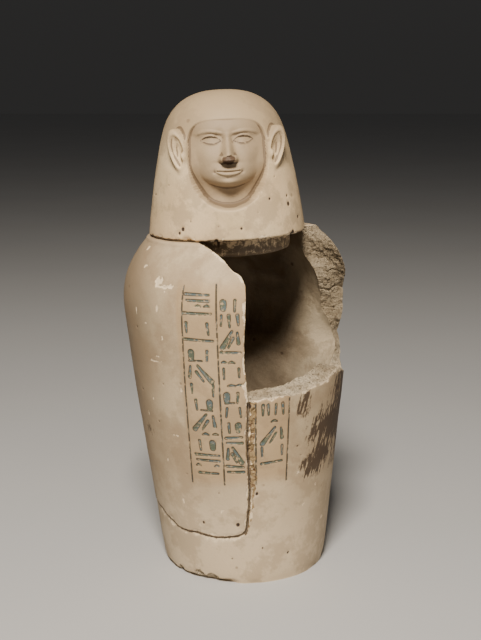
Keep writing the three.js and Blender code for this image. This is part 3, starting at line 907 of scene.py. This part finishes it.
def carved(x, y, z):
    """Negative inside the carved lid, positive outside it."""
    face = np.maximum.reduce([-y - face_depth(x, z), y + 20, opening(x, z) - 1])
    head = soft_lower(hair(x, y, z), face, 0.8)
    with_ears = soft_lower(head, ear(x, y, z), 1.3)
    chip = around(LID_CHIP["azimuth"], LID_CHIP["out"], LID_CHIP["height"])
    bite = LID_CHIP["radius"] - np.sqrt((x - chip[0]) ** 2 + (y - chip[1]) ** 2
                                        + (z - chip[2]) ** 2)
    return soft_higher(with_ears, bite, 0.4)


# How a ray looks for the lid's face: from far out inwards in steps, then by halving the last.
RAY = {"from": 72.0, "to": 3, "step": 0.9, "halvings": 13}


def reach(origins, directions):
    """Distance to the outermost stone along each ray from the axis."""
    def at(distance, chosen):
        p = directions[chosen] * distance[:, None]
        return carved(p[:, 0], p[:, 1], origins[chosen] + p[:, 2])

    everything = np.arange(len(directions))
    outer = np.full(len(directions), RAY["from"])
    outside = everything
    while len(outside):
        outside = outside[(at(outer[outside], outside) > 0) & (outer[outside] > RAY["to"])]
        outer[outside] -= RAY["step"]
    inner = outer.copy()
    outer = outer + RAY["step"]
    for _ in range(RAY["halvings"]):
        middle = (inner + outer) / 2
        clear = at(middle, everything) > 0
        outer = np.where(clear, middle, outer)
        inner = np.where(clear, inner, middle)
    return inner


# Small dark pits in the lid: azimuth, height, radius, depth.
LID_PITS = [(30.7, 28.5, 0.9, 0.8), (49.5, 29, 0.9, 0.8), (50, 23, 1.6, 0.9), (52, 1.6, 1.7, 1.2),
            (-11, 0.6, 1.3, 1.2), (-36, 9, 1.3, 1.1), (-39, 6, 1.1, 0.9), (-74, 1, 1.6, 0.9),
            (-74, 32, 0.9, 0.6), (7, 9, 1.1, 0.7), (-29.5, 15, 0.8, 0.6), (-9, 11, 0.8, 0.5),
            (-48, 12, 0.7, 0.5), (62, 12, 1.0, 0.8), (95, 40, 1.1, 0.7), (140, 22, 1.2, 0.8),
            (-160, 55, 1.0, 0.7), (-120, 18, 1.3, 0.9), (170, 80, 0.9, 0.6), (110, 70, 0.8, 0.5),
            (-100, 64, 1.0, 0.7), (38, 44, 0.6, 0.5), (-52, 40, 0.6, 0.5), (20, 20, 0.6, 0.5)]
# Bruises along the lid's lower edge: azimuth, half-width and depth.
LID_BRUISES = [(-33, 7, 1.6), (-11, 4, 0.9), (52, 6, 1.2), (-62, 8, 0.7), (24, 5, 0.5),
               (84, 7, 0.9), (130, 9, 0.8), (-110, 9, 1.0), (170, 8, 0.8)]
NOSE_TIP_LOSS = 1.5
# Points of the head this far forward belong to its front.
FRONT = -20


def lid_bruised(azimuth, height, points):
    """Depth of the bruises along the lower edge."""
    ragged = lumps(points, 3, 51) + 0.6 * lumps(points, 1.5, 52)
    depth = np.zeros(azimuth.shape)
    for at, wide, deep in LID_BRUISES:
        tall = 2.4 + 1.6 * ragged
        hit = bell((azimuth - at) / wide) * (1 - ramp(height, tall - 1.2, tall))
        depth = np.maximum(depth, deep * hit)
    return depth


def nose_worn(x, z):
    """1 on the broken tip of the nose."""
    points = np.stack([x, z * 0, z], -1)
    ragged = 0.16 * lumps(points, 2.2, 57)
    return 1 - ramp(np.hypot(x / 5.4, (z - NOSE_BASE - 1.4) / 4.0) + ragged, 0.75, 1.0)


def blurred(field, times):
    """The field evened out along both ways of its grid."""
    for _ in range(times):
        field = (field + np.roll(field, 1, 1) + np.roll(field, -1, 1)) / 3
        padded = np.concatenate([field[:1], field, field[-1:]])
        field = (padded[:-2] + padded[1:-1] + padded[2:]) / 3
    return field


def hand_worked(points):
    """The slight unevenness of stone smoothed by hand."""
    return 0.12 * lumps(points, 14, 54) + 0.04 * lumps(points, 4, 55)


def make_lid():
    azimuths = spread(-62, [(62, 300), (298, 80)])[:-1]
    heights = spread(0, [(3, 8), (24, 20), (88, 150)])
    rises = spread(0, [(60, 34), (88.5, 12)])[1:]
    plug = [(PLUG_RADIUS - 4, -PLUG_DEPTH), (PLUG_RADIUS - 1, -PLUG_DEPTH + 1.2),
            (PLUG_RADIUS, -PLUG_DEPTH + 4), (PLUG_RADIUS, 0)]
    rings = [around(azimuths, r, np.full_like(azimuths, z)) for r, z in plug]

    a, h = np.meshgrid(azimuths, heights)
    facing = front_azimuth(a)
    out = reach(h.ravel(), around(a.ravel(), np.ones(a.size), np.zeros(a.size))).reshape(a.shape)
    # How far each point lies below its evened-out neighbours, for painted shade in the hollows.
    hollow_shade = (blurred(out, 9) - out) * (1 - ramp(h, 82, 86))
    points = around(a, out, h)
    front = points[..., 1] < FRONT
    tip = nose_worn(points[..., 0], h) * front
    out -= tip * (NOSE_TIP_LOSS + 0.5 * lumps(points, 2.5, 53)) * (out > 56)
    out -= pitted(LID_PITS, facing, h, out) + lid_bruised(facing, h, points)
    out += hand_worked(points)
    sides = around(a, out, h)

    a, t = np.meshgrid(azimuths, np.radians(rises))
    directions = around(a.ravel(), np.cos(t.ravel()), np.sin(t.ravel()))
    out = reach(np.full(a.size, heights[-1]), directions)
    dome = directions * out[:, None] + (0, 0, heights[-1])
    dome += directions * hand_worked(dome)[:, None]
    rings = np.concatenate([rings, sides, dome.reshape(a.shape + (3,))])

    points, faces = turned_skin(rings, (0, 0, -PLUG_DEPTH), (0, 0, LID_HEIGHT - 0.05))
    lid = mesh_object("lid_head_stone", lid_placed(points), faces)
    mark_head(lid.data, points, len(plug), hollow_shade, tip, lid_bruised(facing, h, sides))
    smooth_but_arrises(lid.data, LID_ARRIS)
    return lid


def mark_head(mesh, points, plug_rows, hollow_shade, tip, bruised):
    """Marks the lid's face, drawn eye lines and damage, and its hollows and lower edge for painted
    shade.
    """
    x, z = points[:, 0], points[:, 2]
    front = points[:, 1] < FRONT
    first = 1 + plug_rows * hollow_shade.shape[1]

    def on_sides(field):
        whole = np.zeros(len(points))
        whole[first:first + field.size] = field.ravel()
        return whole

    across, up, top, low = eye_lines(x, z)
    line = np.minimum(np.abs(up - top - 0.1), np.abs(up - low + 0.1))
    line = np.where((np.abs(across) < 1.12) & front, line, FARTHEST_INK)
    mark(mesh, "eye_line", np.minimum(line, FARTHEST_INK))
    mark(mesh, "face", (1 - ramp(opening(x, z), -1.5, 0.5)) * front)
    mark(mesh, "hollow_shade", np.clip(on_sides(hollow_shade) / 0.8, -1, 1))
    mark(mesh, "nose_tip", on_sides(tip))
    mark(mesh, "flake", on_sides(np.clip(bruised / 0.5, 0, 1)))
    azimuth = front_azimuth(np.degrees(np.arctan2(x, -points[:, 1])))
    out = np.hypot(x, points[:, 1])
    mark(mesh, "pit", pitted(LID_PITS, azimuth, z, out) / 0.6 * (z >= 0))
    # Painted shadow of the gap under the lid's lower edge, strongest at the front left, and painted
    # shade over the plug.
    ragged = 1.0 + 0.8 * lumps(points, 5, 56)
    lid_edge_shade = 1 - ramp(z, ragged * 0.7, ragged * 0.7 + 1.4)
    left = 0.45 + 0.65 * bell((azimuth + 62) / 34)
    mark(mesh, "lid_edge_shade", np.where(z >= 0, lid_edge_shade * left, 0.72))


def lid_placed(points):
    """Turns the head a little, leans it and sets it on the rim."""
    x, y, z = points[:, 0], points[:, 1], points[:, 2]
    x, y = turned(x, y, LID_TURN)
    x, z = turned(x, z, LID_LEAN)
    return np.stack([x, y, z], -1) + np.array(LID_CENTRE)


# ---- shader building ------------------------------------------------------------------------

COLOUR, VALUE = "NodeSocketColor", "NodeSocketFloat"
STONE_SHEEN = 0.35


def linear(red, green, blue):
    """A colour from 0 to 255 screen values."""
    parts = [c / 255 for c in (red, green, blue)]
    return tuple(c / 12.92 if c <= 0.04045 else ((c + 0.055) / 1.055) ** 2.4 for c in parts) + (1,)


class Tree:
    """A tree of shader nodes, with short words for the nodes that stone needs."""

    def __init__(self, tree):
        self.tree = tree
        self.coords = self.node("ShaderNodeTexCoord").outputs
        self.place = self.coords["Object"]

    def node(self, kind, sockets=None, **settings):
        """A node: its settings by name, and its sockets set or joined by name or number."""
        made = self.tree.nodes.new(kind)
        for name, value in settings.items():
            setattr(made, name, value)
        for key, value in (sockets or {}).items():
            if isinstance(value, bpy.types.NodeSocket):
                self.tree.links.new(value, made.inputs[key])
            else:
                made.inputs[key].default_value = value
        return made

    def join(self, value, socket):
        self.tree.links.new(value, socket)

    def mixed(self, factor, first, second):
        return self.node("ShaderNodeMix", {0: factor, 6: first, 7: second}, data_type="RGBA").outputs[2]

    def worked_out(self, operation, first, second=0.0, third=0.0, clamp=False):
        return self.node("ShaderNodeMath", {0: first, 1: second, 2: third}, operation=operation,
                         use_clamp=clamp).outputs[0]

    def times(self, first, second, clamp=False):
        return self.worked_out("MULTIPLY", first, second, clamp=clamp)

    def times_plus(self, first, second, third):
        return self.worked_out("MULTIPLY_ADD", first, second, third)

    def eased(self, value, low, high, start=0.0, end=1.0):
        """start where value is at low, end where it is at high, and smooth between."""
        return self.node("ShaderNodeMapRange",
                         {"Value": value, "From Min": low, "From Max": high, "To Min": start,
                          "To Max": end}, interpolation_type="SMOOTHSTEP").outputs["Result"]

    def marked(self, name):
        """A number kept in the mesh by mark()."""
        return self.node("ShaderNodeAttribute", attribute_type="GEOMETRY",
                         attribute_name=name).outputs["Fac"]

    def noise(self, scale, detail=3.0, rough=0.55, warp=0.0, place=None):
        return self.node("ShaderNodeTexNoise",
                         {"Vector": self.place if place is None else place, "Scale": scale,
                          "Detail": detail, "Roughness": rough, "Distortion": warp}).outputs["Fac"]

    def apart(self, place):
        """The three numbers of a place."""
        return self.node("ShaderNodeSeparateXYZ", {"Vector": place}).outputs


class Effect(Tree):
    """A node group with named inputs and outputs, built once and placed in several finishes."""

    def __init__(self, name, inputs, outputs):
        super().__init__(bpy.data.node_groups.new(name, "ShaderNodeTree"))
        for title, value in inputs.items():
            kind = COLOUR if isinstance(value, tuple) else VALUE
            socket = self.tree.interface.new_socket(title, in_out="INPUT", socket_type=kind)
            socket.default_value = value
        for title, kind in outputs.items():
            self.tree.interface.new_socket(title, in_out="OUTPUT", socket_type=kind)
        self.given = self.tree.nodes.new("NodeGroupInput").outputs
        self.out = self.tree.nodes.new("NodeGroupOutput").inputs

    def gives(self, **results):
        """Joins the results to the group's outputs, and gives the finished group."""
        for title, value in results.items():
            self.join(value, self.out[title])
        return self.tree


def mottled_stone_effect():
    """Limestone's own colour: pale and dark clouds, a warm tinge and faint fine specks."""
    effect = Effect("mottled_stone",
                    {"Pale": (1, 1, 1, 1), "Dark": (0, 0, 0, 1), "Warm": (1, 1, 1, 1),
                     "Cloud Scale": 18.0, "Warmth": 0.5, "Speckle": 0.1}, {"Color": COLOUR})
    given = effect.given
    cloud = effect.eased(effect.noise(given["Cloud Scale"], 5.0, 0.6, 0.6), 0.3, 0.7)
    colour = effect.mixed(cloud, given["Dark"], given["Pale"])
    broad = effect.times(given["Cloud Scale"], 0.45)
    warm = effect.eased(effect.noise(broad, 2.0), 0.42, 0.66)
    colour = effect.mixed(effect.times(warm, given["Warmth"]), colour, given["Warm"])
    speck = effect.eased(effect.noise(900.0, 2.0), 0.35, 0.65, -1.0, 1.0)
    shift = effect.times_plus(speck, given["Speckle"], 1.0)
    both = effect.node("ShaderNodeVectorMath", {0: colour, "Scale": shift}, operation="SCALE")
    return effect.gives(Color=both.outputs[0])


def stone_grain_effect():
    """Fine relief of worked stone: grain and scattered pin-holes, as a height and a mask."""
    effect = Effect("stone_grain", {"Grain Scale": 700.0, "Pit Scale": 260.0, "Pit Share": 0.2},
                    {"Height": VALUE, "Pits": VALUE})
    given = effect.given
    grain = effect.noise(given["Grain Scale"], 4.0, 0.65)
    cells = effect.node("ShaderNodeTexVoronoi", {"Vector": effect.place, "Scale": given["Pit Scale"],
                                                 "Randomness": 1.0}).outputs
    chosen = effect.node("ShaderNodeSeparateColor", {"Color": cells["Color"]}).outputs[0]
    kept = effect.worked_out("LESS_THAN", chosen, given["Pit Share"])
    hole = effect.times(effect.eased(cells["Distance"], 0.28, 0.12), kept)
    return effect.gives(Height=effect.worked_out("SUBTRACT", grain, hole), Pits=hole)


def soiling_effect():
    """Lays a dirt colour over a colour, broken up by clouds, where a mask is high."""
    effect = Effect("soiling",
                    {"Color": (1, 1, 1, 1), "Dirt": (0, 0, 0, 1), "Mask": 0.0, "Break Up": 0.5,
                     "Scale": 160.0, "Strength": 1.0}, {"Color": COLOUR})
    given = effect.given
    ragged = effect.eased(effect.noise(given["Scale"], 5.0, 0.7), 0.25, 0.75, -1.0, 1.0)
    ragged = effect.times(ragged, effect.times(given["Mask"], 4.0, clamp=True))
    pushed = effect.times_plus(ragged, given["Break Up"], given["Mask"])
    mask = effect.times(effect.eased(pushed, 0.3, 0.7), given["Strength"])
    return effect.gives(Color=effect.mixed(mask, given["Color"], given["Dirt"]))


SOILING = soiling_effect()
MOTTLED = mottled_stone_effect()
GRAIN = stone_grain_effect()


def new_material(name, roughness):
    """A dull material: itself, its tree and its shader's sockets."""
    material = bpy.data.materials.new(name)
    material.use_nodes = True
    shader = material.node_tree.nodes["Principled BSDF"].inputs
    shader["Roughness"].default_value = roughness
    shader["Specular IOR Level"].default_value = STONE_SHEEN
    return material, material.node_tree, shader


class Finish(Tree):
    """A material laid up over mottled stone, coat by coat. Colours are 0 to 255 screen values."""

    def __init__(self, name, roughness, pale, dark, warm, cloud_scale, warmth, speckle):
        self.material, tree, self.shader = new_material(name, roughness)
        super().__init__(tree)
        self.x, self.y, self.z = self.apart(self.place)
        self.colour = self.placed(MOTTLED, {"Pale": linear(*pale), "Dark": linear(*dark),
                                            "Warm": linear(*warm), "Cloud Scale": cloud_scale,
                                            "Warmth": warmth, "Speckle": speckle})["Color"]

    def placed(self, effect, sockets):
        return self.node("ShaderNodeGroup", sockets, node_tree=effect).outputs

    def tint(self, mask, colour, strength=None):
        """Mixes a colour in where the mask is high."""
        factor = mask if strength is None else self.times(mask, strength)
        if isinstance(colour, tuple):
            colour = linear(*colour)
        self.colour = self.mixed(factor, self.colour, colour)

    def soil(self, dirt, mask, break_up, scale, strength):
        self.colour = self.placed(SOILING, {"Color": self.colour, "Dirt": linear(*dirt),
                                            "Mask": mask, "Break Up": break_up, "Scale": scale,
                                            "Strength": strength})["Color"]

    def grain(self, grain_scale, pit_scale, pit_share):
        return self.placed(GRAIN, {"Grain Scale": grain_scale, "Pit Scale": pit_scale,
                                   "Pit Share": pit_share})

    def grained(self, grain, pit_colour, strength, depth):
        """Darkens the grain's pin-holes and ends the finish with its relief."""
        self.tint(grain["Pits"], pit_colour, strength)
        return self.done(grain["Height"], depth)

    def done(self, height, depth):
        """Joins the colour, and a bump of the given depth in metres, to the shader."""
        bump = self.node("ShaderNodeBump", {"Height": height, "Distance": depth, "Strength": 1.0})
        self.join(self.colour, self.shader["Base Color"])
        self.join(bump.outputs["Normal"], self.shader["Normal"])
        return self.material


# ---- finishes --------------------------------------------------------------------------------

SOOT = (62, 48, 38)
BROWN_STAIN = (60, 42, 29)
INK_GREEN = (50, 78, 68)
INK_BLUE = (58, 90, 98)
INK_DARK = (44, 40, 32)
FRESH_STONE = (234, 213, 179)
GROUND_TAN = (178, 148, 110)
CRUST = (146, 122, 86)
RUST = (84, 58, 40)
SEAM_DARK = (84, 66, 48)


def streaked(coat, mask):
    """Draws a mask out into fine streaks that run down the wall a little aslant."""
    drawn = coat.node("ShaderNodeCombineXYZ", {"X": coat.times_plus(coat.z, -0.14, coat.x),
                                               "Y": coat.times_plus(coat.z, -0.16, coat.y),
                                               "Z": coat.times(coat.z, 0.13)}).outputs[0]
    streaks = coat.eased(coat.noise(420.0, 4.0, 0.65, place=drawn), 0.32, 0.68, -0.5, 0.6)
    return coat.times_plus(streaks, coat.times(mask, 2.5, clamp=True), mask)


def lay_inscription(coat):
    """Blue-green fill in the strokes and rules, worn through in places, with dark edges."""
    ink = coat.marked("ink")
    worn = coat.eased(coat.noise(420.0, 4.0, 0.7), 0.34, 0.5)
    fill = coat.mixed(coat.eased(coat.noise(120.0), 0.45, 0.55), linear(*INK_GREEN),
                      linear(*INK_BLUE))
    coat.tint(coat.times(coat.eased(ink, 0.15, -0.25), worn), fill, 0.85)
    edge = coat.worked_out("ABSOLUTE", coat.worked_out("SUBTRACT", ink, 0.05))
    broken = coat.eased(coat.noise(260.0), 0.35, 0.5)
    coat.tint(coat.times(coat.eased(edge, 0.5, 0.15), broken), INK_DARK, 0.8)


def lay_filler(coat):
    """The crust of filler beside the joint, with rusty and chalky specks."""
    filled = coat.marked("filler")
    coat.soil(CRUST, filled, 0.2, 500.0, 0.95)
    rusty = coat.eased(coat.noise(330.0, 4.0, 0.7), 0.54, 0.62)
    coat.tint(coat.times(filled, rusty), RUST)
    chalky = coat.eased(coat.noise(290.0, 4.0, 0.7), 0.38, 0.33)
    coat.tint(coat.times(filled, chalky), FRESH_STONE)


def skin_finish(name, pale, dark, warm):
    """The jar's dressed face: paler towards the foot, painted shade on the left and right sides, tan in
    the panels.
    """
    coat = Finish(name, 0.72, pale, dark, warm, 13.0, 0.5, 0.03)
    coat.tint(coat.eased(coat.z, 0.11, 0.03, 0.0, 0.7), (224, 204, 172))
    # Painted shade: the stone darkens towards the left and right edges, where the light falls off.
    left = coat.eased(coat.x, -0.05, -0.086, 0.0, 0.75)
    right = coat.eased(coat.x, 0.03, 0.08, 0.0, 0.3)
    coat.tint(coat.worked_out("MAXIMUM", left, right), (120, 102, 80))
    coat.tint(coat.marked("panel"), GROUND_TAN, 0.62)
    coat.soil((146, 122, 94), 0.4, 0.55, 30.0, 0.36)
    coat.soil(BROWN_STAIN, streaked(coat, coat.marked("stain")), 0.25, 240.0, 0.9)
    lay_inscription(coat)
    lay_filler(coat)
    coat.soil(FRESH_STONE, coat.marked("flake"), 0.65, 420.0, 0.88)
    gap = coat.times_plus(coat.noise(280.0, 5.0, 0.7), -3.2, coat.marked("seam"))
    coat.tint(coat.eased(gap, -0.22, -0.8, 0.0, 0.92), SEAM_DARK)
    coat.tint(coat.eased(coat.marked("pit"), 0.3, 0.8), SOOT)
    return coat.grained(coat.grain(520.0, 150.0, 0.02), (110, 88, 66), 0.6, 0.00022)


def hollow_finish():
    """The bored inside: painted shade darkens it, with dusty mottling and a pale patch of painted light
    on the right.
    """
    # Darker stone colours than the outside, as painted shade over the whole inside.
    coat = Finish("jar_inside_stone", 0.85, (144, 128, 106), (98, 84, 66), (124, 102, 78),
                  26.0, 0.4, 0.05)
    # Painted light: a pale patch on the right-hand wall inside, where the light reaches in.
    coat.tint(coat.eased(coat.x, 0.03, 0.062, 0.0, 0.85), (206, 188, 158))
    coat.soil((112, 90, 66), 0.3, 0.7, 40.0, 0.35)
    return coat.grained(coat.grain(380.0, 130.0, 0.05), (88, 70, 54), 0.7, 0.0005)


def broken_finish():
    """Broken stone: granular, browner high up, painted shade at the foot and in its grain, pale near
    the outer face.
    """
    coat = Finish("broken_stone", 0.92, (232, 214, 184), (194, 174, 143), (214, 190, 156),
                  60.0, 0.4, 0.14)
    # Browner stone high up, and painted shade on the broken faces low at the foot, as under the worn
    # edge.
    high = coat.eased(coat.z, 0.156, 0.172, 0.0, 0.65)
    low = coat.eased(coat.z, 0.014, 0.006, 0.0, 0.8)
    coat.tint(coat.worked_out("MAXIMUM", high, low), (144, 128, 103))
    coat.soil((116, 96, 72), 0.3, 0.8, 240.0, 0.4)
    coat.soil(FRESH_STONE, coat.marked("bruise"), 0.8, 300.0, 0.75)
    grain = coat.grain(520.0, 380.0, 0.3)
    # Painted shade: dark specks in the grain's hollows, together with its pin-holes.
    hollow_shade = coat.eased(coat.noise(460.0, 4.0, 0.7), 0.44, 0.34)
    coat.tint(coat.worked_out("MAXIMUM", hollow_shade, grain["Pits"]), (86, 70, 52), 0.65)
    return coat.done(coat.times_plus(coat.noise(330.0, 5.0, 0.75), 2.2, grain["Height"]), 0.0024)


def lid_finish():
    """The lid: smooth pale stone, darker on the face; painted shade on its crown, hollows and lower
    edge.
    """
    coat = Finish("lid_limestone", 0.6, (220, 197, 160), (194, 170, 133), (214, 182, 142),
                  18.0, 0.5, 0.025)
    # Painted shade on the crown, growing towards the top against the light from above.
    coat.tint(coat.eased(coat.z, 0.305, 0.362, 0.0, 0.9), (160, 138, 108))
    coat.tint(coat.marked("face"), (150, 130, 104), 0.82)
    coat.soil((146, 126, 100), 0.4, 0.6, 34.0, 0.42)
    # Painted shade in the hollows of the ears, eyes, mouth and under the chin.
    coat.soil((104, 86, 66), coat.eased(coat.marked("hollow_shade"), 0.06, 0.7), 0.3, 300.0, 0.8)
    line = coat.eased(coat.marked("eye_line"), 0.75, 0.3)
    coat.tint(coat.times(line, coat.eased(coat.noise(500.0), 0.3, 0.5)), (78, 62, 48), 0.8)
    coat.soil((74, 54, 40), coat.marked("nose_tip"), 0.25, 500.0, 0.9)
    coat.soil(FRESH_STONE, coat.marked("flake"), 0.5, 350.0, 0.8)
    # Painted shade along the lid's lower edge and over its plug.
    coat.soil((64, 48, 36), coat.marked("lid_edge_shade"), 0.4, 260.0, 0.85)
    coat.tint(coat.eased(coat.marked("pit"), 0.3, 0.8), SOOT)
    return coat.grained(coat.grain(600.0, 120.0, 0.05), (120, 98, 76), 0.5, 0.00014)


def floor_finish():
    material, tree, shader = new_material("pale_floor", 0.9)
    ground = Tree(tree)
    colour = ground.mixed(ground.noise(3.0, 2.0), (0.46, 0.455, 0.45, 1), (0.5, 0.495, 0.49, 1))
    ground.join(colour, shader["Base Color"])
    return material


# ---- the studio ----------------------------------------------------------------------------

CAMERA = {"place": (-0.00355, -0.8447, 0.3771), "down": 12.3, "lens": 61.875, "sensor": 36}
FLOOR_REACH = 12000
# Glow of the studio round the jar: level with the ground, from high up, and its strength.
GLOW = {"low": (0.38, 0.37, 0.36, 1), "high": (0.66, 0.65, 0.64, 1), "strength": 0.07}
# Soft lights: name, place, what each is aimed at, size, power and colour.
LIGHTS = [("key_light", (-0.12, -1.06, 1.4), (0, 0, 0.2), 0.36, 52, (1, 0.925, 0.82)),
          ("fill_light", (1.2, -0.6, 0.5), (0, 0, 0.18), 0.9, 0.8, (1, 0.97, 0.94))]


def make_camera():
    lens = bpy.data.cameras.new("camera")
    lens.lens = CAMERA["lens"]
    lens.sensor_width = CAMERA["sensor"]
    camera = put("camera", lens)
    camera.location = CAMERA["place"]
    camera.rotation_euler = (math.radians(90 - CAMERA["down"]), 0, 0)
    bpy.context.scene.camera = camera


def make_studio():
    far = FLOOR_REACH
    floor = mesh_object("floor", [(-far, -far, 0), (far, -far, 0), (far, far, 0), (-far, far, 0)],
                        [(0, 1, 2, 3)])
    floor.data.materials.append(floor_finish())

    world = bpy.data.worlds.new("studio")
    world.use_nodes = True
    sky = Tree(world.node_tree)
    upward = sky.eased(sky.apart(sky.coords["Generated"])["Z"], 0.0, 0.5)
    background = world.node_tree.nodes["Background"].inputs
    sky.join(sky.mixed(upward, GLOW["low"], GLOW["high"]), background["Color"])
    background["Strength"].default_value = GLOW["strength"]
    bpy.context.scene.world = world
    for name, place, aim, size, power, colour in LIGHTS:
        light = bpy.data.lights.new(name, "AREA")
        light.size = size
        light.energy = power
        light.color = colour
        lamp = put(name, light)
        lamp.location = place
        lamp.rotation_euler = (Vector(aim) - Vector(place)).to_track_quat("-Z", "Y").to_euler()


# ---- putting the jar together ----------------------------------------------------------------

def stands_for(piece, node_name):
    """Lets a piece stand for its solid."""
    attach(piece, "root")
    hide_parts(node_name)


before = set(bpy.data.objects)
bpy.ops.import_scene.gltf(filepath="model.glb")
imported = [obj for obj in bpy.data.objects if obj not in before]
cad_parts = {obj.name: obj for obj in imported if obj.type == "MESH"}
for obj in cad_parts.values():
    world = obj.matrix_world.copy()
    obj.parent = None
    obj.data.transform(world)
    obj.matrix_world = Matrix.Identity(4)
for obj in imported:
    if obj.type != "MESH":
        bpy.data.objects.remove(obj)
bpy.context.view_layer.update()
make_camera()
make_studio()

inside_stone = hollow_finish()
broken_stone = broken_finish()
body_skin = skin_finish("jar_limestone", (200, 180, 148), (166, 144, 114), (190, 160, 125))
sherd_skin = skin_finish("sherd_limestone", (202, 182, 150), (168, 146, 117), (194, 162, 127))

body = make_jar_body((body_skin, inside_stone, broken_stone))
sherd = make_sherd((sherd_skin, inside_stone, broken_stone))
for piece in (body, sherd):
    drop_crumbs(piece.data)
    mark_wear(piece.data)
    smooth_but_arrises(piece.data, JAR_ARRIS)
sherd.data.transform(Matrix.Translation(Vector(SHERD_SHIFT) * MM))
lid = make_lid()

lid.data.materials.append(lid_finish())
stands_for(body, "jar_body")
stands_for(sherd, "jar_fragment")
stands_for(lid, "lid")
